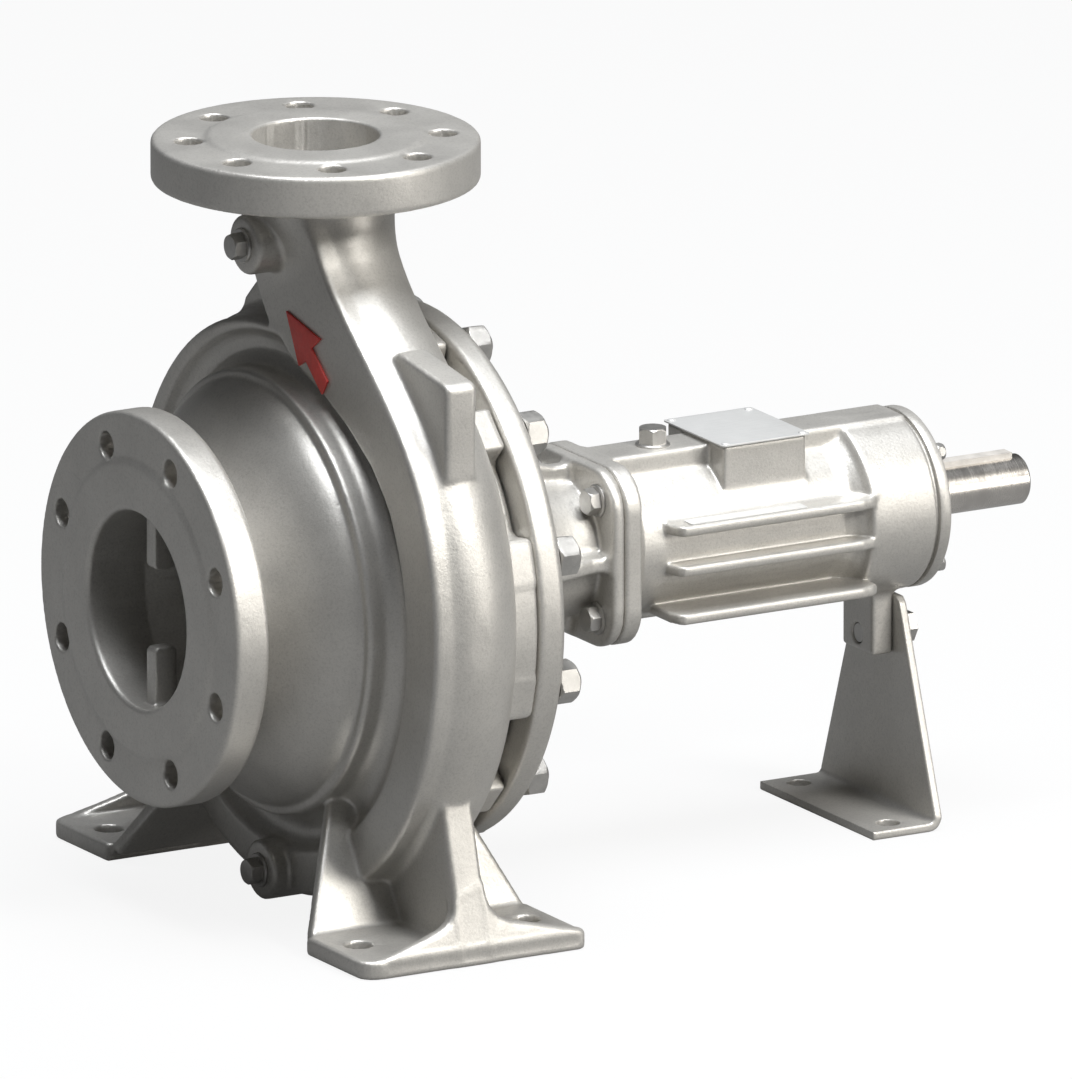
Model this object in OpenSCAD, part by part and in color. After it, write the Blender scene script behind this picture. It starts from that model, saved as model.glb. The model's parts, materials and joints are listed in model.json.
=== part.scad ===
// Thermic fluid pump: end-suction centrifugal pump for hot oil, bare shaft.
// Frame: X along the shaft towards the drive end, Z up, base plane at z = 0,
// origin under the crossing of the shaft axis and the discharge axis. Millimetres.

/* [Main sizes] */
// Suction face to discharge axis
suction_reach = 130; // [110:1:160]
// Base plane to shaft axis
shaft_h = 200; // [190:1:240]
// Shaft axis to discharge face
discharge_reach = 290; // [270:1:330]
// Discharge axis to the end of the shaft
shaft_reach = 510; // [490:1:560]

/* [Suction flange] */
// Bore radius of the suction
suction_r = 62.5; // [50:0.5:70]
// Rim radius of the suction flange
suction_rim = 125; // [120:1:140]
// Radius of the suction raised face
suction_face_r = 94; // [85:1:98]
// Thickness of the suction flange
suction_t = 24; // [18:1:30]
// Bolt circle of the suction flange
suction_pcd = 210; // [206:1:216]
// Height of both raised faces
raised = 2; // [1:0.5:4]
// Radius of the flange holes
flange_hole = 9; // [7:0.5:11]
// Holes in each flange
flange_holes = 8; // [4:4:12]
// Thickness of the ribs in the suction bore
swirl_t = 11; // [6:1:16]
// Clear radius between the ribs in the suction bore
swirl_r = 25; // [20:1:40]
// Length of each anti-swirl rib along the bore
swirl_len = 16; // [10:1:40]
// Place of the ribs' front edges
swirl_x = -119; // [-122:1:-100]

/* [Discharge flange] */
// Bore radius of the discharge
discharge_r = 40; // [32:0.5:46]
// Rim radius of the discharge flange
discharge_rim = 103; // [98:1:112]
// Radius of the discharge raised face
discharge_face_r = 68; // [62:1:69]
// Thickness of the discharge flange
discharge_t = 27; // [20:1:32]
// Bolt circle of the discharge flange
discharge_pcd = 160; // [156:1:168]
// Wall of the neck under the discharge flange
neck_wall = 10; // [8:0.5:14]

/* [Volute] */
// Radius of the volute's front edge at the cut-water
volute_start = 170; // [168:1:176]
// Radius of the volute's front edge at the side
volute_side = 203; // [198:1:212]
// Wall outside the volute's passage
volute_wall = 9.7; // [8:0.1:11]
// Distance of the volute's front face before the discharge axis
front_x = 30; // [28:1:34]
// Distance of the volute's back before the joint
back_x = 44; // [42:1:48]
// Radius of the round back of the volute, measured at its centre line
dome_r = 162; // [158:1:166]
// Radius of the ring at the foot of the bowl
ring_r = 142; // [138:1:146]
// Distance of the ring's front before the discharge axis
ring_x = 43; // [40:1:48]
// Radius of the neck behind the suction flange
bowl_r = 86; // [78:1:92]
// Radius of the impeller chamber
chamber_r = 134; // [130:1:136]
// Half width of the impeller chamber
chamber_half = 20; // [16:1:24]

/* [Casing joint] */
// Radius of the spigot between casing and cover
spigot_r = 140; // [138:1:142]
// Joint face of the casing, from the discharge axis
joint_x = 62; // [58:1:68]
// Outer radius of the stud lugs and of the lantern's big flange
joint_rim = 171; // [168:1:178]
// Radius of the casing between the stud lugs
joint_ring = 152; // [149:1:156]
// Radius of the stud circle
stud_circle = 156; // [154:1:160]
// Number of studs
studs = 12; // [8:4:16]
// Radius of the studs
stud_r = 8; // [6:1:10]
// Width of a stud lug
lug_w = 30; // [24:1:34]
// Gap between casing and lantern flange
joint_gap = 1; // [0.5:0.1:2]
// Thickness of the lantern's big flange
cover_t = 20; // [16:1:26]
// Width across flats of the joint nuts
nut_af = 24; // [20:1:30]
// Height of the joint nuts
nut_h = 14; // [10:1:18]

/* [Casing feet] */
// Hole spacing along the shaft
foot_pitch_x = 120; // [110:1:130]
// Hole spacing across
foot_pitch_y = 315; // [305:1:325]
// Length of a foot along the shaft
foot_len = 160; // [154:1:176]
// Width over both feet
foot_over = 400; // [390:1:412]
// Width of one foot
foot_w = 74; // [70:1:84]
// Thickness of a foot
foot_t = 12; // [10:1:18]
// Radius of the foot holes
foot_hole = 9; // [7:0.5:10]
// Wall of the foot's plates
foot_wall = 9; // [7:1:12]
// Width of the foot's upright rib
foot_rib = 22; // [18:1:28]

/* [Plugs and lug] */
// Height of the gauge plug above the shaft axis
gauge_z = 225; // [220:1:232]
// Distance of the drain plug below the shaft axis
drain_z = 180; // [176:1:184]
// Radius of the plug bosses
boss_r = 19; // [16:1:22]
// Radius of the plug thread
plug_r = 8; // [6:1:10]
// Width across flats of the plug heads
plug_af = 15; // [12:1:18]
// Width of the wedge lug
wedge_w = 22; // [18:1:28]

/* [Impeller] */
// Outer radius of the impeller
impeller_r = 125; // [115:1:128]
// Outlet width of the impeller
outlet_w = 16; // [12:1:20]
// Radius of the impeller eye
eye_r = 52; // [46:1:54]
// Thickness of the impeller shrouds
shroud_t = 5; // [4:0.5:7]
// Number of vanes
vanes = 6; // [5:1:8]
// Thickness of a vane
vane_t = 6; // [4:0.5:8]
// Radius of the impeller's wearing neck
neck_r = 60; // [58:0.5:62]
// Wall of the casing wear ring
wear_wall = 6; // [5:0.5:8]

/* [Shaft] */
// Radius of the shaft end
end_r = 16; // [14:0.5:18]
// Length of the free shaft end
end_len = 80; // [70:1:90]
// Radius of the shaft at the bearings
journal_r = 20; // [19:0.5:21]
// Radius of the shaft between the bearings
body_r = 24; // [22.5:0.5:25]
// Radius of the shaft under the impeller
seat_r = 14; // [12:0.5:15]
// Radius of the shaft under the sleeve
sleeve_in = 17; // [16:0.5:18]
// Outer radius of the shaft sleeve
sleeve_out = 22; // [21:0.5:23]
// Width of the coupling key
key_w = 10; // [8:1:12]

/* [Lantern] */
// Joint between lantern and bearing housing, from the discharge axis
housing_x = 190; // [184:1:200]
// Half width of the square joint flange
square_half = 58; // [56:1:62]
// Corner radius of the square joint flange
square_round = 27; // [20:1:32]
// Distance of the joint bolts from the centre planes
square_bolt = 38; // [36:1:41]
// Thickness of the lantern's small flange
small_t = 9; // [8:1:12]
// Smallest outer radius of the lantern's neck
waist_r = 43; // [41:1:46]
// Wall of the lantern
lantern_wall = 8; // [6:1:10]

/* [Bearing housing] */
// Outer radius of the housing barrel
barrel_r = 47; // [45.5:0.5:50]
// Radius of the rear drum
drum_r = 57.5; // [55:0.5:62]
// Length of the rear drum
drum_len = 46; // [40:1:54]
// Rear face of the drum, from the discharge axis
drum_x = 417; // [410:1:430]
// Distance of the fin tips from the centre plane
fin_reach = 60; // [57:1:66]
// Height of the top fin's underside above the shaft axis
fin_top = 12; // [8:1:16]
// Step from the top fin to the middle fin
fin_step = 26; // [22:1:30]
// Height of the lowest fin's underside, below the shaft axis when negative
fin_low = -45; // [-48:1:-40]
// Thickness of a fin
fin_t = 7; // [5:0.5:9]
// Height of the top spine above the shaft axis
spine_z = 57; // [55:1:62]
// Width of the top spine
spine_w = 34; // [28:1:44]
// Height of the plate pad above the shaft axis
pad_z = 60; // [58:1:66]
// Length of the name plate along the shaft
plate_len = 64; // [56:1:72]
// Width of the name plate
plate_w = 75; // [66:1:82]
// Length of the small plate on the top fin
fin_plate_len = 84; // [76:1:96]
// Width of the small plate on the top fin
fin_plate_w = 11; // [9:0.5:13]
// Front edge of the name plate, from the discharge axis
plate_x = 272; // [262:1:284]
// Oil filler plug, from the discharge axis
oil_x = 243; // [236:1:252]
// Width across flats of the oil filler plug
oil_af = 17; // [14:1:20]
// Radius of the circle of the rear cover's screws
end_screw_circle = 51; // [49.5:0.5:52]
// Thickness of the rear bearing cover
end_cover_t = 10.5; // [8:0.5:13]

/* [Bearings] */
// Outer radius of the front bearing
front_race = 40; // [38:0.5:41]
// Width of the front bearing
front_w = 18; // [16:1:20]
// Outer radius of the rear bearing
rear_race = 45; // [43:0.5:46]
// Width of the rear bearing
rear_w = 23; // [20:1:26]
// Balls in each bearing
balls = 8; // [7:1:10]

/* [Support foot] */
// Distance of the support foot holes before its rear face
prop_back = 30.5; // [24:0.5:36]
// Hole spacing of the support foot
prop_pitch = 110; // [100:1:120]
// Thickness of the support plate
prop_t = 5.5; // [4:0.5:8]
// Length of the support foot along the shaft
prop_len = 50; // [44:1:60]
// Width of the support foot at its base
prop_w = 142; // [134:1:156]
// Width of the support plate at its top
prop_top = 52; // [44:1:60]
// Radius of the support foot holes
prop_hole = 7.5; // [6:0.5:9]
// Distance of the lug that carries the support before the drum's rear face
prop_lug_gap = 10; // [6:1:16]
// Width of that lug
prop_lug_w = 38; // [34:1:44]
// Height of the lug's lower edge below the shaft axis
prop_lug_z = 96; // [92:1:104]
// Height of the support bolt below the shaft axis
prop_bolt_z = 85; // [80:1:88]
// Height of the support plate's top below the shaft axis
prop_top_z = 58; // [57.5:0.5:64]
// Thickness of that lug
prop_lug_t = 15; // [12:1:16]
// Radius of the support bolt
prop_bolt = 6; // [5:0.5:8]

/* [Fits] */
// Clearance of fixed fits
fit = 0.05; // [0.02:0.01:0.1]
// Play of clearance holes
play = 1; // [0.5:0.1:1.5]

/* [Hidden] */

$fn = 96;
eps = 0.5;

// Casing values
suction_back = suction_reach - raised - suction_t;
discharge_back = discharge_reach - raised - discharge_t;
neck_out = discharge_r + neck_wall;
mid_r = dome_r + 2;
wear_in = neck_r + 0.3;
wear_out = wear_in + wear_wall;
wear_x = -52;
wear_len = 16;
cover_x = joint_x + joint_gap;
cover_back = cover_x + cover_t;
lug_start = 180 / studs;
gasket_x = 30;
gasket_t = 2;
cover_front = gasket_x + gasket_t;

// Swan neck: centre line from the volute's end to the flange, as a cubic curve
neck_start = 300;
start_c = [mid_r * sin(neck_start), mid_r * cos(neck_start)];
top_c = [0, discharge_back + 7];
pull_start = 75;
pull_top = 95;
curve = [
    start_c,
    start_c + pull_start * [cos(neck_start), -sin(neck_start)],
    top_c - pull_top * [0, 1],
    top_c
];
function bez(t) = pow(1 - t, 3) * curve[0] + 3 * t * pow(1 - t, 2) * curve[1]
    + 3 * t * t * (1 - t) * curve[2] + t * t * t * curve[3];
function slope(t) = 3 * pow(1 - t, 2) * (curve[1] - curve[0])
    + 6 * t * (1 - t) * (curve[2] - curve[1]) + 3 * t * t * (curve[3] - curve[2]);
function unit(v) = v / norm(v);
function smooth(a, b, t) = let (u = min(1, max(0, (t - a) / (b - a)))) u * u * (3 - 2 * u);
function mix(a, b, w) = a * (1 - w) + b * w;
function round_part(t) = smooth(0.72, 1, t);

// Outer section of the volute: q is measured outwards from the centre line
crisp = 2.5;
front_steps = 5;
dome_angles = [for (a = [108:-12:0]) a];
inner_angles = [325, 298, 270, 246];
front_angles = [225, 205, 185, 165, 148, 134];
function edge_q(th) = volute_start + (volute_side - volute_start) * th / 270 - mid_r;
function inner_q(th) = -14 - 28 * min(1, max(0, (th - 150) / 150));
function outer_section(qc, qi) = concat(
    [for (i = [0:front_steps]) [-front_x, qi + (qc - crisp - qi) * i / front_steps]],
    [[-front_x + crisp, qc], [-17, qc + 0.5]],
    [for (a = dome_angles) [back_x * cos(a), dome_r - mid_r + (qc + 6) * sin(a)]],
    [[back_x, qi], [back_x * 0.5, qi], [0, qi], [-front_x * 0.5, qi]]
);
round_angles = concat(front_angles, [129, 120], dome_angles, inner_angles);
function round_section(r) = [for (a = round_angles) [r * cos(a), r * sin(a)]];
function blend(a, b, w) = [for (i = [0:len(a) - 1]) mix(a[i], b[i], w)];

// Inner section: an oval that grows round the volute and turns round in the neck
oval_points = 16;
grown_end = (edge_q(neck_start) + mid_r - volute_wall - chamber_r + 3) / 2;
function grown(th) = grown_end * sqrt((th + 20) / (neck_start + 20));
function oval(xc, qc, ax, aq) = [
    for (i = [0:oval_points - 1]) let (a = 360 * i / oval_points) [xc - ax * cos(a), qc + aq * sin(a)]
];
function inner_section(th) = let (a = grown(th))
    oval(5, chamber_r - 3 + a - mid_r, 10 + 18 * th / neck_start, a);
function inner_neck(t) = let (w = round_part(t), q = mix(grown_end, discharge_r - 0.4, t))
    oval(5 * (1 - w), 0, mix(28, discharge_r - 0.4, w), q);

// Places a section on a spoke of the spiral or across the neck's centre line
function on_spoke(sec, th) = [
    for (p = sec) [p[0], (mid_r + p[1]) * sin(th), shaft_h + (mid_r + p[1]) * cos(th)]
];
function on_curve(sec, t) = let (c = bez(t), d = unit(slope(t)), n = [-d[1], d[0]]) [
    for (p = sec) [p[0], c[0] + p[1] * n[0], shaft_h + c[1] + p[1] * n[1]]
];

function middle(r) = [for (k = [0:2]) (max([for (p = r) p[k]]) + min([for (p = r) p[k]])) / 2];
module loft(rings) {
    n = len(rings[0]);
    m = len(rings);
    polyhedron(
        points = concat([for (r = rings) for (p = r) p], [middle(rings[0]), middle(rings[m - 1])]),
        faces = concat(
            [for (i = [0:n - 1]) [i, (i + 1) % n, m * n]],
            [for (i = [0:n - 1]) [(m - 1) * n + (i + 1) % n, (m - 1) * n + i, m * n + 1]],
            [for (k = [0:m - 2]) for (i = [0:n - 1]) [k * n + i, (k + 1) * n + i, k * n + (i + 1) % n]],
            [for (k = [0:m - 2]) for (i = [0:n - 1])
                [k * n + (i + 1) % n, (k + 1) * n + i, (k + 1) * n + (i + 1) % n]]
        ),
        convexity = 8
    );
}

split = 144;
neck_steps = 15;
step = 12;
spiral_first = [for (th = [-12:step:split]) on_spoke(outer_section(edge_q(th), inner_q(th)), th)];
spiral_last = [
    for (th = [split:step:neck_start - step]) on_spoke(outer_section(edge_q(th), inner_q(th)), th)
];
neck_rings = [
    for (i = [0:neck_steps]) let (t = i / neck_steps) on_curve(
        blend(outer_section(edge_q(neck_start), inner_q(neck_start)), round_section(neck_out),
            round_part(t)), t)
];
passage_rings = concat(
    [for (th = [8:step:neck_start - 4]) on_spoke(inner_section(th), th)],
    [for (i = [0:10]) on_curve(inner_neck(i / 11), i / 11)]
);

// Turns a profile of [radius, x] points about the shaft axis
module turned(points) {
    translate([0, 0, shaft_h]) rotate([0, 90, 0]) rotate_extrude() polygon(points);
}

// A tube on the shaft axis from x0 to x1
module tube(x0, x1, r_out, r_in = 0) {
    translate([x0, 0, shaft_h]) rotate([0, 90, 0]) difference() {
        cylinder(h = x1 - x0, r = r_out);
        if (r_in > 0) translate([0, 0, -1]) cylinder(h = x1 - x0 + 2, r = r_in);
    }
}

// Repeats its children n times round the shaft axis
module around(n, start = 0) {
    for (i = [0:n - 1])
        translate([0, 0, shaft_h]) rotate([start + i * 360 / n, 0, 0]) translate([0, 0, -shaft_h])
            children();
}

module hex_x(af, h) {
    rotate([0, 90, 0]) rotate([0, 0, 30]) cylinder(h = h, r = af / sqrt(3), $fn = 6);
}

module post_x(x0, x1, r, y = 0, z = 0) {
    translate([x0, y, z]) rotate([0, 90, 0]) cylinder(h = x1 - x0, r = r);
}

// Body of the casing round the shaft: flange, bowl, ring and joint
module casing_core() {
    turned([
        [40, -suction_reach],
        [suction_face_r, -suction_reach],
        [suction_face_r, -suction_reach + raised],
        [suction_rim - 1.5, -suction_reach + raised],
        [suction_rim, -suction_reach + raised + 1.5],
        [suction_rim, -suction_back - 1.5],
        [suction_rim - 1.5, -suction_back],
        [bowl_r + 10, -suction_back],
        for (a = [80:-20:20]) [bowl_r + 10 - 10 * cos(90 - a), -suction_back + 10 - 10 * sin(a)],
        [bowl_r, -suction_back + 11],
        for (i = [1:8]) let (u = i / 8) [
            mix(bowl_r, ring_r - 7.5, sin(90 * u) * 0.45 + u * u * (3 - 2 * u) * 0.55),
            mix(-suction_back + 11, -ring_x + 2, u)
        ],
        [ring_r - 5.5, -ring_x + 2],
        [ring_r - 5.5, -ring_x],
        [ring_r, -ring_x],
        [ring_r, -front_x + 4],
        [joint_ring, -front_x + 8],
        [joint_ring, joint_x],
        [40, joint_x]
    ]);
}

module stud_lug() {
    translate([0, 0, shaft_h]) intersection() {
        translate([back_x - 8, -lug_w / 2, joint_ring - 8]) cube([joint_x - back_x + 8, lug_w, joint_rim]);
        rotate([0, 90, 0]) cylinder(h = joint_x, r = joint_rim);
    }
}

module side_pad() {
    intersection() {
        tube(back_x - 6, joint_x, joint_rim, joint_ring - 6);
        for (s = [-1, 1])
            translate([0, s * joint_rim, shaft_h]) cube([400, 100, 2 * stud_circle * sin(lug_start) + lug_w], center = true);
    }
}

// One foot on the -Y side: base plate, leaning plate, upright rib and outer wall
foot_y = foot_over / 2;
foot_lean = 31;
module foot() {
    half = foot_len / 2;
    difference() {
        union() {
            linear_extrude(foot_t) polygon([
                [-half, -foot_y + foot_w],
                [half, -foot_y + foot_w],
                [half, -foot_y + 3],
                [half - 3, -foot_y],
                [-half + 14, -foot_y],
                [-half + 7, -foot_y + 2],
                [-half + 2, -foot_y + 7],
                [-half, -foot_y + 14]
            ]);
            translate([0, -foot_y + foot_w, foot_t]) rotate([-foot_lean, 0, 0]) translate([0, 0, -4])
                rotate([90, 0, 0]) translate([0, 0, -foot_wall]) linear_extrude(foot_wall)
                    polygon([[-half, 0], [-half + 2, 6], [-38, 88], [45, 88], [half - 1, 6], [half, 0]]);
            translate([-foot_rib / 2, 0, 0]) rotate([90, 0, 90]) linear_extrude(foot_rib)
                polygon([
                    [-foot_y + 1, 1], [-foot_y + 1, 25], [-foot_y + 17, 95],
                    [-foot_y + 80, 112], [-foot_y + foot_w + 30, 70], [-foot_y + foot_w, 1]
                ]);
            translate([0, -foot_y + 8, 0]) rotate([90, 0, 0]) linear_extrude(8) difference() {
                polygon([
                    [-half + 13, 1], [-half + 13, foot_t], [-28, 26], [-17, 33], [-12, 42],
                    [-foot_rib / 2, 50], [foot_rib / 2, 50], [12, 42], [17, 33], [28, 26],
                    [half - 3, foot_t], [half - 3, 1]
                ]);
            }
        }
        for (s = [-1, 1])
            translate([s * foot_pitch_x / 2, -foot_pitch_y / 2, -1]) cylinder(h = 30, r = foot_hole);
    }
}

module plug_boss(x, z) {
    translate([-x, 0, shaft_h + z]) rotate([0, 90, 0]) {
        cylinder(h = 30, r = boss_r);
        translate([0, 0, 5]) cylinder(h = 25, r = min(boss_r + 2, shaft_h + z - 0.5));
    }
}
gauge_x = 52;
drain_x = 41;
plug_len = 14;

module wedge_lug() {
    translate([-wedge_w / 2, 0, shaft_h]) rotate([90, 0, 90]) linear_extrude(wedge_w)
        polygon([[-182, 108], [-183, 167], [-180, 170], [-120, 178], [-100, 150], [-150, 100]]);
}

module neck_web() {
    translate([-6, 0, shaft_h]) rotate([90, 0, 90]) linear_extrude(12)
        polygon([[0, 150], [88, 150], [80, 168], [62, 185], [48, 208], [38, 235], [10, 235]]);
}

module flow_arrow() color([0.75, 0.15, 0.13])
    translate([-front_x - 1.6, 0, shaft_h]) rotate([90, 0, 90]) linear_extrude(1.6)
        polygon([
            [-17, 184], [-60, 175], [-49, 167], [-69, 150], [-62, 140], [-42, 157], [-33, 152]
        ]);

module swirl_ribs() {
    intersection() {
        union() {
            translate([swirl_x, -swirl_t / 2, shaft_h + swirl_r]) cube([swirl_len, swirl_t, 60]);
            translate([swirl_x, -swirl_t / 2, shaft_h - swirl_r - 60]) cube([swirl_len, swirl_t, 60]);
        }
        tube(-125, -60, suction_r + 6);
    }
}

module chamber_cut() {
    turned([
        [0, -suction_reach - 1],
        [suction_r + 2.5, -suction_reach - 1],
        [suction_r, -suction_reach + 2.5],
        [suction_r, -88],
        [eye_r, wear_x - 8],
        [eye_r, wear_x],
        [wear_out, wear_x],
        [wear_out, wear_x + wear_len],
        [wear_out + 3, wear_x + wear_len + 3],
        [chamber_r - 6, -chamber_half],
        [chamber_r, -chamber_half + 6],
        [chamber_r, gasket_x],
        [spigot_r, gasket_x],
        [spigot_r, joint_x + 1],
        [0, joint_x + 1]
    ]);
}

// Groove round the ring; the neck's face closes it beside the flow arrow
module groove_cut() {
    difference() {
        translate([0, 0, shaft_h]) rotate([0, 90, 0]) rotate_extrude() {
            translate([ring_r + 11, -front_x - 3]) circle(r = 11.8);
            translate([ring_r - 0.8, -front_x - 63]) square([23.6, 60]);
        }
        translate([-front_x - 80, 0, shaft_h]) rotate([90, 0, 90]) linear_extrude(120) polygon([
            [24, 202], [19, 194], [-3, 167], [-17, 154], [-38, 146], [-60, 139], [-90, 125],
            [-120, 106], [-143, 83], [-160, 100], [-100, 180]
        ]);
    }
}

module volute_casing() color([0.66, 0.65, 0.62]) {
    difference() {
        union() {
            difference() {
                union() {
                    casing_core();
                    loft(spiral_first);
                    loft(concat(spiral_last, neck_rings));
                }
                groove_cut();
            }
            translate([0, 0, shaft_h + discharge_back]) rotate_extrude() polygon([
                [0, -13],
                [neck_out + 1, -13],
                for (a = [0:15:90]) [neck_out + 10 - 9 * cos(a), 9 * sin(a) - 9],
                [discharge_rim - 1.5, 0],
                [discharge_rim, 1.5],
                [discharge_rim, discharge_t - 1.5],
                [discharge_rim - 1.5, discharge_t],
                [discharge_face_r, discharge_t],
                [discharge_face_r, discharge_t + raised],
                [0, discharge_t + raised]
            ]);
            around(studs, lug_start) stud_lug();
            side_pad();
            for (m = [0, 1]) mirror([0, m, 0]) foot();
            plug_boss(gauge_x, gauge_z);
            plug_boss(drain_x, -drain_z);
            wedge_lug();
            neck_web();
        }
        chamber_cut();
        loft(passage_rings);
        translate([0, 0, shaft_h + bez(10 / 11)[1] - 3]) cylinder(h = 80, r = discharge_r);
        around(flange_holes, 180 / flange_holes)
            post_x(-suction_reach - 1, -suction_back + 1, flange_hole, 0, shaft_h + suction_pcd / 2);
        for (i = [0:flange_holes - 1])
            rotate([0, 0, (i + 0.5) * 360 / flange_holes])
                translate([discharge_pcd / 2, 0, shaft_h + discharge_back - 1])
                    cylinder(h = discharge_t + 2, r = flange_hole);
        around(studs, lug_start)
            post_x(back_x - 4, joint_x + 1, stud_r + fit, 0, shaft_h + stud_circle);
        post_x(-gauge_x - 1, -gauge_x + plug_len, plug_r, 0, shaft_h + gauge_z);
        post_x(-drain_x - 1, -drain_x + plug_len, plug_r, 0, shaft_h - drain_z);
    }
    swirl_ribs();
}

module casing_wear_ring() color([0.75, 0.62, 0.38])
    tube(wear_x + 0.2, wear_x + wear_len, wear_out - fit, wear_in);

module casing_gasket() color([0.25, 0.25, 0.27])
    tube(gasket_x, gasket_x + gasket_t, spigot_r - fit, chamber_r + 1);

// Casing cover with the seal chamber, clamped behind the casing by the lantern
hub_r = 50;
hub_x = cover_x + 37;
nose_r = sleeve_out + 15;
nose_x = hub_x + 36;
bush_out = sleeve_out + 6;
bush_x = cover_front - 8;
bush_end = hub_x - 12;
cover_face = chamber_half;
module casing_cover() color([0.62, 0.61, 0.58])
    turned([
        [bush_out, cover_face],
        [chamber_r - 1, cover_face],
        [chamber_r - 1, cover_front],
        [spigot_r - fit, cover_front],
        [spigot_r - fit, cover_x + 6],
        [hub_r + 6, cover_x + 6],
        [hub_r, cover_x + 12],
        [hub_r, hub_x],
        [nose_r, hub_x + 12],
        [nose_r, nose_x],
        [sleeve_out + 9, nose_x],
        [sleeve_out + 9, bush_end + 4],
        [bush_out, bush_end + 4]
    ]);

module throttle_bush() color([0.7, 0.6, 0.4])
    tube(bush_x, bush_end, bush_out - fit, sleeve_out + 0.3);

// Lantern: big flange on the studs, waisted neck with four ribs, small square flange
square_x = housing_x - small_t;
neck_len = square_x - cover_back;
function waist(u) = waist_r + (98 - waist_r) * pow(1 - u, 2.6);
module square_plate(x0, t) {
    translate([x0, 0, shaft_h]) rotate([90, 0, 90]) linear_extrude(t) square_outline();
}
module square_outline() {
    half = square_half - square_round;
    square([2 * half, 2 * square_half], center = true);
    square([2 * square_half, 2 * half], center = true);
    for (a = [45:90:315])
        translate([half * sign(cos(a)), half * sign(sin(a))]) circle(r = square_round);
}
module lantern_skin(shrink, x0) {
    turned(concat(
        [[0, x0]],
        [for (i = [0:8]) [waist(i / 8) - shrink, cover_back + neck_len * i / 8]],
        [[waist_r - shrink, square_x + 2], [0, square_x + 2]]
    ));
}
module lantern() color([0.68, 0.67, 0.64]) {
    difference() {
        union() {
            turned([
                [60, cover_x],
                [joint_rim - 1.5, cover_x],
                [joint_rim, cover_x + 1.5],
                [joint_rim, cover_back - 4],
                [joint_rim - 4, cover_back],
                [60, cover_back]
            ]);
            lantern_skin(0, cover_back - 2);
            square_plate(square_x, small_t);
            intersection() {
                for (a = [0, 90])
                    translate([0, 0, shaft_h]) rotate([a, 0, 0])
                        translate([cover_back - 1, -5, -60]) cube([square_x - cover_back + 2, 10, 120]);
                turned([
                    [0, cover_back - 1], [joint_rim - 70, cover_back - 1], [70, cover_back + 34],
                    [square_half - 4, square_x - 12], [square_half - 4, square_x + 1], [0, square_x + 1]
                ]);
            }
        }
        turned([
            [0, cover_x - 1],
            [spigot_r, cover_x - 1],
            [spigot_r, cover_x + 6.3],
            [100, cover_x + 6.3],
            [waist(0) - lantern_wall, cover_back],
            for (i = [1:8]) [waist(i / 8) - lantern_wall, cover_back + neck_len * i / 8],
            [waist_r - lantern_wall, housing_x - 6],
            [front_race + 5, housing_x - 6],
            [front_race + 5, housing_x + 1],
            [0, housing_x + 1]
        ]);
        around(studs, lug_start)
            post_x(cover_x - 1, cover_back + 1, stud_r + play, 0, shaft_h + stud_circle);
        for (y = [-1, 1]) for (z = [-1, 1])
            post_x(square_x - 1, housing_x + 1, 5 + play / 2, y * square_bolt, shaft_h + z * square_bolt);
    }
}

module cover_studs() color([0.6, 0.6, 0.6])
    around(studs, lug_start) {
        post_x(back_x - 3.7, cover_back + nut_h + 2.5, stud_r, 0, shaft_h + stud_circle);
        post_x(cover_back + nut_h + 2.5, cover_back + nut_h + 3.5, stud_r - 1, 0, shaft_h + stud_circle);
    }

module cover_nuts() color([0.62, 0.62, 0.62])
    around(studs, lug_start)
        translate([cover_back, 0, shaft_h + stud_circle]) difference() {
            intersection() {
                hex_x(nut_af, nut_h);
                rotate([0, 90, 0]) cylinder(h = nut_h, r1 = nut_af / 2 + 6, r2 = nut_af / 2 + 0.6);
            }
            translate([-1, 0, 0]) rotate([0, 90, 0]) cylinder(h = nut_h + 2, r = stud_r + fit);
        }

// Joint bolts: flanged hex heads on the lantern's side, threaded into the housing
bolt_head = 7;
bolt_depth = 20;
module lantern_bolts() color([0.6, 0.6, 0.6])
    for (y = [-1, 1]) for (z = [-1, 1])
        translate([square_x, y * square_bolt, shaft_h + z * square_bolt]) {
            translate([-2, 0, 0]) rotate([0, 90, 0]) cylinder(h = 2, r = 10.5);
            translate([-2 - bolt_head, 0, 0]) hex_x(15, bolt_head + 0.5);
            rotate([0, 90, 0]) translate([0, 0, -1]) cylinder(h = bolt_depth + 1, r = 5);
        }

module seal_cover() color([0.6, 0.6, 0.58])
    tube(nose_x, nose_x + 9, nose_r - 3, sleeve_out + 1);

module seal_seat() color([0.3, 0.3, 0.32])
    tube(nose_x - 9, nose_x - 0.2, sleeve_out + 9 - fit, sleeve_out + 1);

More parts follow.
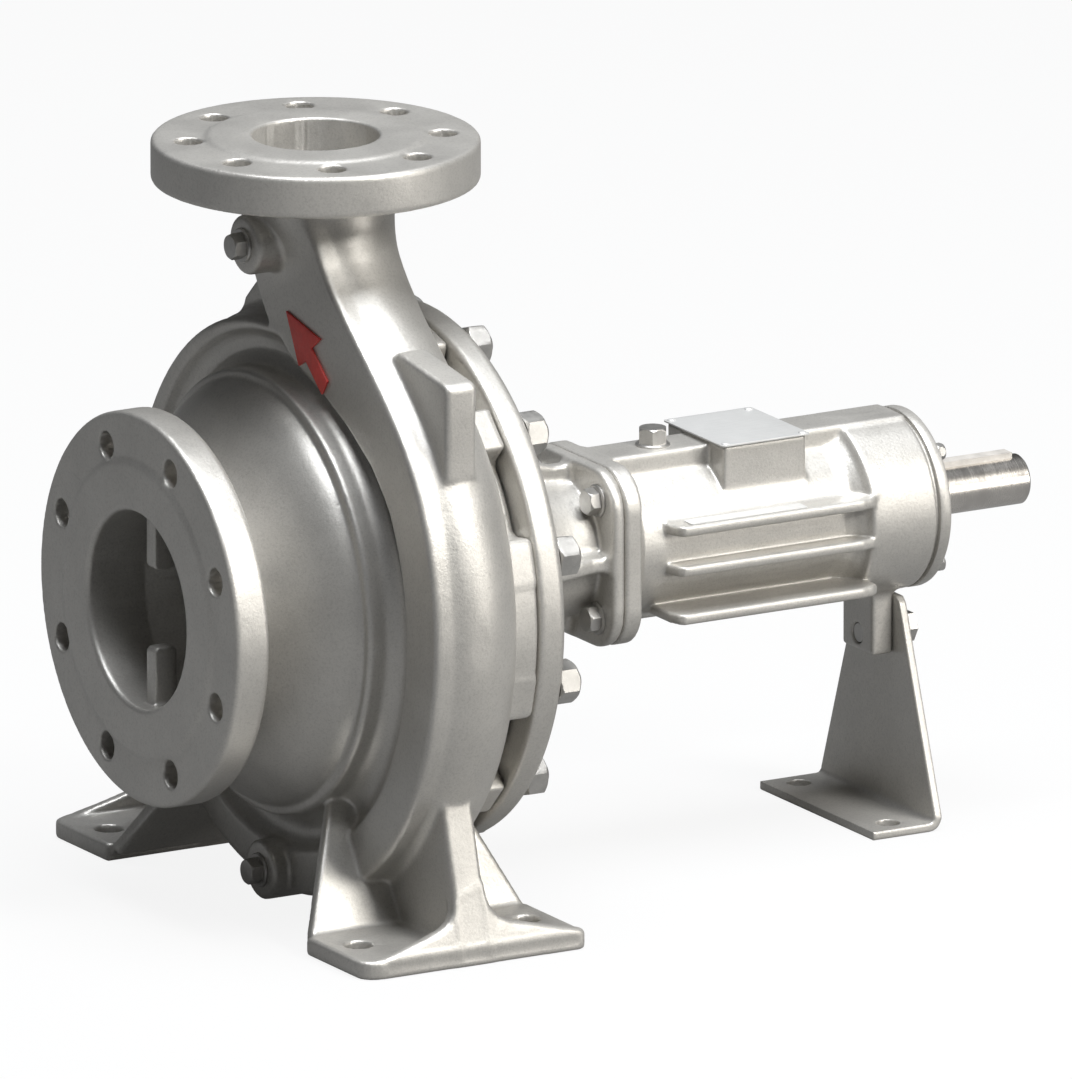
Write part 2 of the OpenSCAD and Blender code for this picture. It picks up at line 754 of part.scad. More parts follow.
// Bearing housing
drum_front = drum_x - drum_len;
prop_lug_x = drum_x - prop_lug_gap - prop_lug_t;
fin_x = housing_x + 36;
fin_heights = [fin_top, fin_top - fin_step, fin_low];
front_brg = housing_x + 22;
rear_brg = drum_x - 31;
front_out = front_race;
module housing_fin(z, side) {
    translate([0, 0, shaft_h + z]) linear_extrude(fin_t)
        polygon([
            [fin_x, 0], [fin_x, side * (fin_reach - 12)], [fin_x + 6, side * fin_reach],
            [drum_front - 10, side * fin_reach], [drum_front + 4, side * (fin_reach - 6)],
            [drum_front + 4, 0]
        ]);
}
module bearing_housing() color([0.7, 0.69, 0.66]) {
    difference() {
        union() {
            square_plate(housing_x, 12.5);
            turned([
                [0, housing_x + 5],
                [barrel_r + 6, housing_x + 12],
                [barrel_r, housing_x + 20],
                [barrel_r, drum_front - 16],
                [barrel_r + 2, drum_front - 9],
                [barrel_r + 6, drum_front - 3],
                [drum_r, drum_front],
                [drum_r, drum_x],
                [0, drum_x]
            ]);
            translate([housing_x + 8, -spine_w / 2, shaft_h]) cube([drum_front - housing_x, spine_w, spine_z]);
            translate([plate_x - 1, -plate_w / 2 - 1, shaft_h]) cube([plate_len + 2, plate_w + 2, pad_z]);
            for (s = [-1, 1]) {
                for (z = fin_heights) housing_fin(z, s);
            }
            translate([prop_lug_x, -prop_lug_w / 2, shaft_h - prop_lug_z]) cube([prop_lug_t, prop_lug_w, prop_lug_z - drum_r + 20]);
            translate([housing_x + 8, -spine_w / 2, shaft_h - 50]) cube([drum_front - housing_x, spine_w, 20]);
        }
        tube(housing_x - 1, front_brg + front_w, front_race + fit);
        tube(housing_x + 20, rear_brg + 2, front_race - 4);
        tube(rear_brg, drum_x + 1, rear_race + fit);
        translate([oil_x, 0, shaft_h + spine_z - 37]) cylinder(h = 60, r = plug_r);
        post_x(prop_lug_x - 1, prop_lug_x + prop_lug_t + 1, prop_bolt + 0.5, 0, shaft_h - prop_bolt_z);
        for (y = [-1, 1]) for (z = [-1, 1])
            post_x(housing_x - 1, housing_x + 12, 5 + fit, y * square_bolt, shaft_h + z * square_bolt);
        around(4, 45) post_x(drum_x - 14, drum_x + 1, 3 + fit, 0, shaft_h + end_screw_circle);
    }
}

module bearing(x, w, r_out, r_in, part) {
    pitch = (r_out + r_in) / 2;
    ball = (r_out - r_in) * 0.3;
    if (part == "outer")
        translate([x, 0, shaft_h]) rotate([0, 90, 0]) rotate_extrude() difference() {
            translate([pitch + ball * 0.55, 0]) square([r_out - pitch - ball * 0.55, w]);
            translate([pitch, w / 2]) circle(r = ball + 0.05);
        }
    if (part == "inner")
        translate([x, 0, shaft_h]) rotate([0, 90, 0]) rotate_extrude() difference() {
            translate([r_in + fit, 0]) square([pitch - ball * 0.55 - r_in - fit, w]);
            translate([pitch, w / 2]) circle(r = ball + 0.05);
        }
    if (part == "balls")
        around(balls) translate([x + w / 2, 0, shaft_h + pitch]) sphere(r = ball, $fn = 32);
    if (part == "cage")
        difference() {
            tube(x + w / 2 - ball * 1.3, x + w / 2 + ball * 1.3, pitch + ball * 0.35, pitch - ball * 0.35);
            around(balls) translate([x + w / 2, 0, shaft_h + pitch]) sphere(r = ball + 0.1, $fn = 32);
        }
}

module front_outer_race() color([0.75, 0.76, 0.78]) bearing(front_brg, front_w, front_race, journal_r, "outer");
module front_inner_race() color([0.75, 0.76, 0.78]) bearing(front_brg, front_w, front_race, journal_r, "inner");
module front_balls() color([0.85, 0.86, 0.88]) bearing(front_brg, front_w, front_race, journal_r, "balls");
module front_cage() color([0.75, 0.6, 0.35]) bearing(front_brg, front_w, front_race, journal_r, "cage");
module rear_outer_race() color([0.75, 0.76, 0.78]) bearing(rear_brg, rear_w, rear_race, journal_r, "outer");
module rear_inner_race() color([0.75, 0.76, 0.78]) bearing(rear_brg, rear_w, rear_race, journal_r, "inner");
module rear_balls() color([0.85, 0.86, 0.88]) bearing(rear_brg, rear_w, rear_race, journal_r, "balls");
module rear_cage() color([0.75, 0.6, 0.35]) bearing(rear_brg, rear_w, rear_race, journal_r, "cage");

module front_bearing_cover() color([0.64, 0.63, 0.6])
    turned([
        [journal_r + 5, housing_x - 4],
        [front_race + 4, housing_x - 4],
        [front_race + 4, housing_x - 0.1],
        [front_race - fit, housing_x - 0.1],
        [front_race - fit, front_brg - 0.1],
        [front_race - 6, front_brg - 0.1],
        [front_race - 6, front_brg - 6],
        [journal_r + 5, front_brg - 6]
    ]);

module rear_bearing_cover() color([0.7, 0.69, 0.66])
    difference() {
        turned([
            [journal_r + 5, drum_x - 4],
            [rear_race - 6, drum_x - 4],
            [rear_race - 6, rear_brg + rear_w + 0.1],
            [rear_race - fit, rear_brg + rear_w + 0.1],
            [rear_race - fit, drum_x + 0.4],
            [drum_r, drum_x + 0.4],
            [drum_r, drum_x + end_cover_t - 1],
            [drum_r - 1, drum_x + end_cover_t],
            [journal_r + 5, drum_x + end_cover_t]
        ]);
        around(4, 45) post_x(drum_x - 1, drum_x + end_cover_t + 1, 3 + play / 2, 0, shaft_h + end_screw_circle);
    }

module rear_cover_bolts() color([0.6, 0.6, 0.6])
    around(4, 45) {
        translate([drum_x + end_cover_t, 0, shaft_h + end_screw_circle]) hex_x(10, 5);
        post_x(drum_x - 12, drum_x + end_cover_t + 0.5, 3, 0, shaft_h + end_screw_circle);
    }

module front_lip_seal() color([0.12, 0.12, 0.12])
    tube(housing_x - 3, housing_x + 4, journal_r + 5 - fit, sleeve_out + 0.06);

module rear_lip_seal() color([0.12, 0.12, 0.12])
    tube(drum_x + 1, drum_x + end_cover_t - 1, journal_r + 5 - fit, journal_r + 0.06);

module oil_plug() color([0.62, 0.62, 0.62])
    translate([oil_x, 0, shaft_h + spine_z]) {
        cylinder(h = 2, r = 11);
        cylinder(h = 12, r = oil_af / sqrt(3), $fn = 6);
        translate([0, 0, -15]) cylinder(h = 16, r = plug_r - fit);
    }

module hex_plug(x, z) {
    translate([-x, 0, shaft_h + z]) {
        translate([-2, 0, 0]) rotate([0, 90, 0]) cylinder(h = 2, r = plug_r + 3);
        translate([-10, 0, 0]) hex_x(plug_af, 9);
        translate([-1, 0, 0]) rotate([0, 90, 0]) cylinder(h = plug_len - 1, r = plug_r - fit);
    }
}
module gauge_plug() color([0.62, 0.62, 0.62]) hex_plug(gauge_x, gauge_z);
module drain_plug() color([0.62, 0.62, 0.62]) hex_plug(drain_x, -drain_z);

plate_t = 1;
rivet_r = 1.6;
module name_plate() color([0.85, 0.85, 0.85])
    translate([plate_x, -plate_w / 2, shaft_h + pad_z]) difference() {
        cube([plate_len, plate_w, plate_t]);
        for (x = [4, plate_len - 4]) for (y = [4, plate_w - 4])
            translate([x, y, -1]) cylinder(h = 4, r = rivet_r + fit);
    }
module name_plate_rivets() color([0.7, 0.7, 0.7])
    translate([plate_x, -plate_w / 2, shaft_h + pad_z])
        for (x = [4, plate_len - 4]) for (y = [4, plate_w - 4]) translate([x, y, 0]) {
            cylinder(h = plate_t + 0.5, r = rivet_r);
            translate([0, 0, plate_t]) cylinder(h = 1, r1 = rivet_r + 1, r2 = rivet_r);
        }
module fin_plate() color([0.5, 0.5, 0.5])
    translate([fin_x + 12, -fin_reach + 2, shaft_h + fin_top + fin_t]) cube([fin_plate_len, fin_plate_w, 0.8]);

// Support foot: bent plate, tapered upright behind the housing lug
prop_plate_x = prop_lug_x + prop_lug_t;
prop_x = prop_plate_x + prop_t - prop_back;
prop_bend = 9;
module support_foot() color([0.64, 0.63, 0.6])
    difference() {
        intersection() {
            translate([0, prop_w, 0]) rotate([90, 0, 0]) linear_extrude(2 * prop_w) difference() {
                union() {
                    translate([prop_plate_x + prop_t - prop_len, 0]) square([prop_len - prop_bend, prop_t]);
                    translate([prop_plate_x, prop_bend]) square([prop_t, shaft_h - prop_top_z - prop_bend]);
                    intersection() {
                        translate([prop_plate_x + prop_t - prop_bend, prop_bend]) circle(r = prop_bend);
                        translate([prop_plate_x + prop_t - prop_bend, 0]) square(prop_bend);
                    }
                }
                translate([prop_plate_x + prop_t - prop_bend, prop_bend]) circle(r = prop_bend - prop_t);
            }
            translate([prop_plate_x - 2 * prop_len, 0, 0]) rotate([90, 0, 90]) linear_extrude(4 * prop_len) polygon([
                [-prop_w / 2, 0],
                [prop_w / 2, 0],
                [prop_w / 2, prop_bend],
                [prop_top / 2, shaft_h - prop_top_z - 4],
                [prop_top / 2 - 4, shaft_h - prop_top_z],
                [-prop_top / 2 + 4, shaft_h - prop_top_z],
                [-prop_top / 2, shaft_h - prop_top_z - 4],
                [-prop_w / 2, prop_bend]
            ]);
        }
        for (s = [-1, 1])
            translate([prop_x, s * prop_pitch / 2, -1]) cylinder(h = 20, r = prop_hole);
        post_x(prop_plate_x - 1, prop_plate_x + prop_t + 1, prop_bolt + 0.5, 0, shaft_h - prop_bolt_z);
    }

module support_bolt() color([0.6, 0.6, 0.6]) {
    post_x(prop_lug_x + 1, prop_plate_x + prop_t + 11, prop_bolt, 0, shaft_h - prop_bolt_z);
    translate([prop_plate_x + prop_t, 0, shaft_h - prop_bolt_z]) translate([11, 0, 0]) hex_x(18, 7);
}
module support_nut() color([0.6, 0.6, 0.6])
    translate([prop_plate_x + prop_t, 0, shaft_h - prop_bolt_z]) difference() {
        hex_x(18, 10);
        translate([-1, 0, 0]) rotate([0, 90, 0]) cylinder(h = 12, r = prop_bolt + fit);
    }

// Rotor
shaft_front = -44;
seat_end = 26;
lock_x = rear_brg - 8;
end_x = shaft_reach - end_len;
module pump_shaft() color([0.72, 0.7, 0.66])
    difference() {
        turned([
            [0, shaft_front],
            [seat_r - 3, shaft_front],
            [seat_r - 3, -24],
            [seat_r, -24],
            [seat_r, seat_end],
            [sleeve_in, seat_end],
            [sleeve_in, housing_x - 14],
            [journal_r, housing_x - 14],
            [journal_r, front_brg + front_w],
            [body_r, front_brg + front_w],
            [body_r, rear_brg],
            [journal_r, rear_brg],
            [journal_r, end_x - 2],
            [end_r, end_x],
            [end_r, shaft_reach - 1.5],
            [end_r - 1.5, shaft_reach],
            [0, shaft_reach]
        ]);
        translate([-18, -2.5, shaft_h + seat_r - 3]) cube([30, 5, 6]);
        translate([end_x + 6, -key_w / 2, shaft_h + end_r - 5]) cube([end_len - 14, key_w, 8]);
    }

module impeller() color([0.6, 0.6, 0.58]) {
    half = outlet_w / 2;
    difference() {
        union() {
            turned([
                [eye_r - 4, wear_x + 1],
                [neck_r, wear_x + 1],
                [neck_r, wear_x + wear_len + 2],
                [neck_r + 14, -half - shroud_t - 8],
                [impeller_r, -half - shroud_t],
                [impeller_r, -half],
                [neck_r + 12, -half - 6],
                [eye_r, wear_x + wear_len - 4],
                [eye_r - 4, wear_x + wear_len - 6]
            ]);
            turned([
                [seat_r, -24],
                [seat_r + 8, -24],
                [seat_r + 10, -12],
                [seat_r + 22, 2],
                [60, half - 1],
                [impeller_r, half],
                [impeller_r, half + shroud_t],
                [sleeve_out + 6, half + shroud_t + 1],
                [sleeve_out, seat_end - 2],
                [seat_r, seat_end - 2]
            ]);
            intersection() {
                turned([
                    [seat_r + 6, half + 2],
                    [seat_r + 6, -20],
                    [36, -30],
                    [eye_r, wear_x + wear_len - 6],
                    [neck_r + 12, -half - 8],
                    [impeller_r, -half - 2],
                    [impeller_r, half + 2]
                ]);
                around(vanes) translate([-60, 0, shaft_h]) rotate([90, 0, 90]) linear_extrude(80) vane_outline();
            }
        }
        tube(-60, 60, seat_r + fit);
        translate([-18, -2.5, shaft_h + seat_r - 1]) cube([30, 5, 4]);
    }
}

// Backward-curved vane in the plane across the shaft
vane_first = 32;
vane_sweep = 75;
function vane_angle(r) = vane_sweep * ln(r / vane_first) / ln((impeller_r + 2) / vane_first);
module vane_outline() {
    steps = 12;
    radii = [for (i = [0:steps]) vane_first + (impeller_r + 2 - vane_first) * i / steps];
    polygon(concat(
        [for (r = radii) let (a = vane_angle(r) + vane_t / 2 / r * 57.3) [r * sin(-a), r * cos(-a)]],
        [for (i = [steps:-1:0]) let (r = radii[i], a = vane_angle(r) - vane_t / 2 / r * 57.3)
            [r * sin(-a), r * cos(-a)]]
    ));
}

module impeller_key() color([0.5, 0.5, 0.5])
    translate([-17.9, -2.45, shaft_h + seat_r - 2.9]) cube([29.8, 4.9, 5.5]);

module impeller_nut() color([0.62, 0.62, 0.6])
    difference() {
        union() {
            translate([-36, 0, shaft_h]) hex_x(34, 12);
            turned([[0, -52], [8, -51], [14, -46], [17, -36], [0, -36]]);
        }
        tube(shaft_front - 1, -20, seat_r - 3 + fit);
    }

module shaft_sleeve() color([0.7, 0.7, 0.7])
    tube(seat_end + 0.1, housing_x - 14.2, sleeve_out, sleeve_in + fit);

module seal_head() color([0.35, 0.35, 0.37])
    tube(nose_x - 17, nose_x - 9.2, sleeve_out + 7, sleeve_out + fit);

module seal_spring() color([0.6, 0.6, 0.6])
    for (i = [0:3])
        translate([nose_x - 20 - 5.5 * i, 0, shaft_h]) rotate([0, 90, 0]) rotate_extrude()
            translate([sleeve_out + 2.3, 0]) circle(r = 2.2, $fn = 16);

module bearing_lock_nut() color([0.45, 0.45, 0.45])
    difference() {
        tube(rear_brg + rear_w + 0.1, rear_brg + rear_w + 3.5, journal_r + 8, journal_r + fit);
        around(4) translate([rear_brg, -3, shaft_h + journal_r + 5]) cube([60, 6, 10]);
    }

module coupling_key() color([0.7, 0.68, 0.64])
    translate([end_x + 6.1, -key_w / 2 + 0.05, shaft_h + end_r - 4.9]) cube([end_len - 14.2, key_w - 0.1, 7.9]);

module deflector() color([0.3, 0.3, 0.3])
    turned([
        [sleeve_out + 0.06, housing_x - 24],
        [sleeve_out + 5, housing_x - 24],
        [sleeve_out + 10, housing_x - 18],
        [sleeve_out + 10, housing_x - 16],
        [sleeve_out + 0.06, housing_x - 16]
    ]);

volute_casing();
casing_wear_ring();
casing_gasket();
casing_cover();
throttle_bush();
lantern();
cover_studs();
cover_nuts();
lantern_bolts();
seal_cover();
seal_seat();
bearing_housing();
front_bearing_cover();
rear_bearing_cover();
rear_cover_bolts();
front_lip_seal();
rear_lip_seal();
front_outer_race();
rear_outer_race();
oil_plug();
gauge_plug();
drain_plug();
flow_arrow();
name_plate();
name_plate_rivets();
fin_plate();
support_foot();
support_bolt();
support_nut();
pump_shaft();
impeller();
impeller_key();
impeller_nut();
shaft_sleeve();
seal_head();
seal_spring();
front_inner_race();
rear_inner_race();
bearing_lock_nut();
coupling_key();
deflector();
front_cage();
front_balls();
rear_cage();
rear_balls();
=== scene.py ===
"""Thermic fluid pump: castings, fasteners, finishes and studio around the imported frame."""

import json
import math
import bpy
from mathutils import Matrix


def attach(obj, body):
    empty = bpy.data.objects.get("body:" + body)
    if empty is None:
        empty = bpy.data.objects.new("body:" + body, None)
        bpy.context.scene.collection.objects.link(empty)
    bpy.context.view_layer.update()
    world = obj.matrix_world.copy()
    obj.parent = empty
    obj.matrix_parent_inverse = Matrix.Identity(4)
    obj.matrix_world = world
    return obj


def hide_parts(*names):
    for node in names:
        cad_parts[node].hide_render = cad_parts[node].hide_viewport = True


bl_info = {
    "name": "Thermic Fluid Pump",
    "version": (1, 0, 0),
    "blender": (4, 5, 0),
    "location": "3D View > Sidebar > Pump",
    "description": "Dresses an end-suction hot oil pump around its solid frame",
    "category": "Add Mesh",
}

import bmesh
import bpy
import numpy as np
import openvdb
from bpy.props import FloatProperty, FloatVectorProperty, IntProperty, PointerProperty
from mathutils import Matrix, Vector
from mathutils.geometry import tessellate_polygon

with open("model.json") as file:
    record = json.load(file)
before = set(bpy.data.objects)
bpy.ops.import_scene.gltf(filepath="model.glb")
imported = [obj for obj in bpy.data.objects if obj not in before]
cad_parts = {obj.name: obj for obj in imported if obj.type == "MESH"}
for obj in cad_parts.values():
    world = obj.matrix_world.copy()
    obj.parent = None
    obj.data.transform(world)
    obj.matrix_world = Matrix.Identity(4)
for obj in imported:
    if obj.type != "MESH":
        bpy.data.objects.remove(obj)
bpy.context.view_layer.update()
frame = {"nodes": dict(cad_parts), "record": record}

MM = 0.001
ROOT = "frame"

# Places and sizes that several pieces share, millimetres
SHAFT_H = 200.0
SUCTION_X = -130.0
DISCHARGE_TOP = 490.0
SUCTION_BOLTS_R = 105.0
DISCHARGE_BOLTS_R = 80.0
FLANGE_HOLE_R = 9.0
JOINT_BACK = 83.0
LANTERN_BACK = 190.0
LANTERN_BOLTS_Y = 38.0
LANTERN_BOLTS = [
    (y, SHAFT_H + z) for y in (-LANTERN_BOLTS_Y, LANTERN_BOLTS_Y) for z in (-LANTERN_BOLTS_Y, LANTERN_BOLTS_Y)
]
HOUSING_BACK = 417.0
END_COVER_BACK = 427.5
END_COVER_BOLTS_R = 51.0
FOOT_HOLES = [(x, y) for x in (-60, 60) for y in (-157.5, 157.5)]
SUPPORT_BACK = 412.5
SUPPORT_BOLT_Z = 115.0
SUPPORT_HOLES = [(382, -55), (382, 55)]
PLUG_SEATS = {"gauge_plug": (-52, 425), "drain_plug": (-41, 20)}
OIL_PLUG_X = 243.0
OIL_PLUG_SEAT = 257.0
NAME_PLATE = (272, -37.5, 336, 37.5)
NAME_PLATE_TOP = 261.0
RIVET_INSET = 4.0
FIN_PLATE = (238, -58, 322, -47)


# Sizes, colours and studio
def length_setting(name, description, metres, **limits):
    """A length that a user can change."""
    return FloatProperty(name=name, description=description, default=metres, unit="LENGTH", **limits)


def angle_setting(name, description, degrees):
    """An angle that a user can change."""
    return FloatProperty(name=name, description=description, default=math.radians(degrees), subtype="ANGLE")


def colour_setting(name, description, shade):
    """A colour that a user can change."""
    return FloatVectorProperty(
        name=name, description=description, default=shade, subtype="COLOR", size=3, min=0.0, max=1.0,
    )


class PumpSizes(bpy.types.PropertyGroup):
    """Sizes of the pump's outer pieces, along and around the shaft."""

    casting_step: length_setting(
        "Casting step", "Spacing of the grid that the volute is formed on", 0.0015, min=0.0008, max=0.004,
    )
    fillet: length_setting(
        "Foot fillet", "Radius where the casing's feet meet it", 0.0035, min=0.001, max=0.012,
    )
    stud_count: IntProperty(
        name="Studs", description="Studs round the casing joint", default=12, min=4, max=16,
    )
    stud_circle: length_setting("Stud circle", "Radius of the circle the studs stand on", 0.156)
    nut_flats: length_setting("Nut width", "Width across flats of the joint nuts", 0.024)


class PumpColours(bpy.types.PropertyGroup):
    """Colours of the pump's finishes."""

    casting: colour_setting("Casting", "Blasted casting", (0.52, 0.505, 0.475))
    bolting: colour_setting("Bolting", "Dull plated screws and nuts", (0.47, 0.46, 0.44))
    shaft: colour_setting("Shaft", "Ground shaft steel", (0.62, 0.59, 0.55))
    arrow: colour_setting("Flow arrow", "Red paint of the flow arrow", (0.78, 0.085, 0.07))


class PumpStudio(bpy.types.PropertyGroup):
    """The studio's camera."""

    azimuth: angle_setting("Azimuth", "Camera's turn round the pump", -30)
    elevation: angle_setting("Elevation", "Camera's height angle", 15)
    view_height: length_setting("View height", "Height that the picture takes in", 0.674)
    aim: FloatVectorProperty(
        name="Aim", description="Point that the camera looks at", default=(0.1224, -0.0626, 0.2264),
        subtype="TRANSLATION", unit="LENGTH", size=3,
    )


# Plain solids, millimetres
def revolved(profile, turns=200):
    """A closed solid of a (radius, x) outline turned round the shaft axis."""
    ring = np.array([(max(r, 0.02), x) for r, x in profile], float)
    angle = np.arange(turns) * 2 * math.pi / turns
    r, x = ring[:, 0], ring[:, 1]
    points = np.stack([
        np.broadcast_to(x, (turns, len(ring))),
        np.sin(angle)[:, None] * r,
        SHAFT_H + np.cos(angle)[:, None] * r,
    ], axis=2).reshape(-1, 3)
    n = len(ring)
    a = np.arange(turns)[:, None] * n + np.arange(n)
    b = np.arange(turns)[:, None] * n + (np.arange(n) + 1) % n
    quads = np.stack([a, b, np.roll(b, -1, axis=0), np.roll(a, -1, axis=0)], axis=2).reshape(-1, 4)
    return points, quads, np.zeros((0, 3), int)


def upright(profile, x=0.0, y=0.0, turns=160):
    """A closed solid of a (radius, z) outline turned round an upright axis."""
    points, quads, triangles = revolved(profile, turns)
    turned = np.stack([points[:, 1] + x, points[:, 2] - SHAFT_H + y, points[:, 0]], axis=1)
    return turned, quads, triangles


def bar_outline(low, high, radius):
    """The (radius, x) outline of a plain round bar."""
    return [(0, low), (radius, low), (radius, high), (0, high)]


def rod(x0, x1, radius, y=0.0, z=SHAFT_H):
    """A round bar along the shaft's direction."""
    points, quads, triangles = revolved(bar_outline(x0, x1, radius), 64)
    return points + (0, y, z - SHAFT_H), quads, triangles


def post(z0, z1, radius, x, y):
    """A round bar standing upright."""
    return upright(bar_outline(z0, z1, radius), x, y, 64)


def prism(outline, low, high, plane):
    """An outline pushed from low to high along the axis that the plane leaves out."""
    flat = np.array(outline, float)
    n = len(flat)
    caps = tessellate_polygon([[Vector((p[0], p[1], 0)) for p in flat]])
    levels = [np.column_stack([flat, np.full(n, h)]) for h in (low, high)]
    points = np.vstack(levels)
    order = {"yz": (2, 0, 1), "xy": (0, 1, 2), "xz": (0, 2, 1)}[plane]
    points = points[:, order]
    i = np.arange(n)
    quads = np.stack([i, (i + 1) % n, (i + 1) % n + n, i + n], axis=1)
    triangles = np.array([c for c in caps] + [[k + n for k in c] for c in caps])
    return points, quads, triangles


def block(low, high):
    """A box between two corners."""
    outline = [(low[0], low[1]), (high[0], low[1]), (high[0], high[1]), (low[0], high[1])]
    return prism(outline, low[2], high[2], "xy")


def lofted(rings):
    """A closed solid through rings with the same number of points."""
    rings = np.array(rings, float)
    m, n = rings.shape[:2]
    points = np.vstack([rings.reshape(-1, 3), rings[0].mean(0), rings[-1].mean(0)])
    i = np.arange(n)
    k = np.arange(m - 1)[:, None] * n
    quads = np.stack([k + i, k + (i + 1) % n, k + n + (i + 1) % n, k + n + i], axis=2).reshape(-1, 4)
    ends = np.vstack([
        np.stack([i, (i + 1) % n, np.full(n, m * n)], axis=1),
        np.stack([(m - 1) * n + i, (m - 1) * n + (i + 1) % n, np.full(n, m * n + 1)], axis=1),
    ])
    return points, quads, ends


def moved(solid, step):
    """The solid, shifted."""
    return solid[0] + np.array(step, float), solid[1], solid[2]


def mirrored(solid):
    """The solid on the other side of the pump's middle plane."""
    return solid[0] * (1, -1, 1), solid[1], solid[2]


def spun(solid, degrees, pivot=(0, 0, SHAFT_H)):
    """The solid turned round the shaft's axis, or round a line beside it through the pivot."""
    a = math.radians(degrees)
    p = solid[0] - pivot
    y = p[:, 1] * math.cos(a) - p[:, 2] * math.sin(a)
    z = p[:, 1] * math.sin(a) + p[:, 2] * math.cos(a)
    return np.stack([p[:, 0], y, z], axis=1) + pivot, solid[1], solid[2]


def cosd(a):
    """Cosine of an angle in degrees."""
    return math.cos(math.radians(a))


def sind(a):
    """Sine of an angle in degrees."""
    return math.sin(math.radians(a))


def arc(cx, cy, radius, a0, a1, n=10):
    """Points on a circle from one angle to another."""
    return [
        (cx + radius * cosd(a0 + (a1 - a0) * i / n), cy + radius * sind(a0 + (a1 - a0) * i / n))
        for i in range(n + 1)
    ]


def rounded_outline(x0, y0, x1, y1, radius, n=6):
    """A rectangle with round corners."""
    corners = ((x1 - radius, y1 - radius), (x0 + radius, y1 - radius),
               (x0 + radius, y0 + radius), (x1 - radius, y0 + radius))
    outline = []
    for k, (cx, cy) in enumerate(corners):
        outline += arc(cx, cy, radius, 90 * k, 90 * k + 90, n)
    return outline


# Castings
class Casting:
    """A form cast in one piece inside its box: solids joined with rounded corners, then cut."""

    BAND = 8
    MARGIN = 4
    QUICK_STEP = 1.6

    def __init__(self, low, high, step):
        self.box = low, high
        self.step = step = step * 1.0
        self.low = np.floor(np.array(low, float) / step).astype(int) - self.MARGIN
        top = np.ceil(np.array(high, float) / step).astype(int) + self.MARGIN + 1
        self.far = self.BAND * step
        self.field = np.full(tuple(top - self.low), self.far, np.float32)
        self.transform = openvdb.createLinearTransform(voxelSize=step)

    def distance(self, solid):
        """The solid's distance field, with the part of this casting's grid that it reaches."""
        points, quads, triangles = solid
        level = openvdb.FloatGrid.createLevelSetFromPolygons(
            points.astype(np.float32), triangles=triangles.astype(np.uint32),
            quads=quads.astype(np.uint32), transform=self.transform, halfWidth=float(self.BAND),
        )
        margin = self.BAND + 1
        low = np.floor(points.min(0) / self.step).astype(int) - margin - self.low
        high = np.ceil(points.max(0) / self.step).astype(int) + margin - self.low
        low = np.maximum(low, 0)
        high = np.minimum(high, self.field.shape)
        part = np.full(tuple(high - low), self.far, np.float32)
        level.copyToArray(part, ijk=tuple(int(v) for v in low + self.low))
        return part, tuple(slice(a, b) for a, b in zip(low, high))

    def spread(self, solid, where):
        """The solid's distance field over one part of the grid."""
        part, at = self.distance(solid)
        whole = np.full(self.field.shape, self.far, np.float32)
        whole[at] = part
        return whole[where]

    def join(self, solid, fillet=0.0):
        """Adds a solid; fillet rounds the corner where it meets what is there."""
        part, where = self.distance(solid)
        self.field[where] = smooth_least(self.field[where], part, fillet, self.step)

    def cut(self, solid, fillet=0.0, spare=None, spare_fillet=3.0):
        """Takes a solid away, except where it lies in the spare solid."""
        part, where = self.distance(solid)
        if spare is not None:
            part = -smooth_least(-part, self.spread(spare, where), spare_fillet)
        self.field[where] = -smooth_least(-self.field[where], part, fillet)

    def join_common(self, first, second, fillet=0.0):
        """Adds only what two solids share."""
        part, where = self.distance(first)
        part = np.maximum(part, self.spread(second, where))
        self.field[where] = smooth_least(self.field[where], part, fillet)

    def soften(self, radius):
        """Rounds every outer edge to the radius."""
        points, quads = self.grid().convertToQuads(-radius)
        level = openvdb.FloatGrid.createLevelSetFromPolygons(
            points, quads=quads, transform=self.transform, halfWidth=float(self.BAND),
        )
        level.copyToArray(self.field, ijk=tuple(int(v) for v in self.low))
        self.field -= np.float32(radius)

    def grid(self):
        """The field as a level set."""
        grid = openvdb.FloatGrid(self.far)
        grid.copyFromArray(self.field, ijk=tuple(int(v) for v in self.low))
        grid.transform = self.transform
        grid.gridClass = openvdb.GridClass.LEVEL_SET
        return grid

    def crop(self):
        """Keeps only what lies in the casting's box."""
        for i, n in enumerate(self.field.shape):
            shape = [1, 1, 1]
            shape[i] = -1
            place = (np.arange(n) * self.step + self.low[i] * self.step).reshape(shape)
            np.maximum(self.field, (self.box[0][i] - place).astype(np.float32), out=self.field)
            np.maximum(self.field, (place - self.box[1][i]).astype(np.float32), out=self.field)

    def piece(self, name, limit=190000):
        """The casting's skin as a mesh object, thinned to the limit of triangles."""
        self.crop()
        points, quads = self.grid().convertToQuads(0.0)
        obj = mesh_object(name, points * MM, quads[:, ::-1].tolist())
        if len(quads) * 2 > limit:
            thin = obj.modifiers.new("thin", "DECIMATE")
            thin.ratio = limit / (len(quads) * 2)
            bake_modifiers(obj)
        settle(obj.data)
        return obj


def smooth_least(a, b, radius, step=None, keen=1.6):
    """The lower of two fields, blended over the radius; given the step, faces that lie flush stay flat."""
    low = np.minimum(a, b)
    if radius > 0:
        near = np.maximum(radius - np.abs(a - b), 0) / radius
        blend = near * near * np.float32(radius / 4)
        if step is not None:
            along = sum(p * q for p, q in zip(np.gradient(a), np.gradient(b))) / np.float32(step * step)
            blend *= np.clip(keen - keen * along, 0, 1)
        low -= blend
    return low


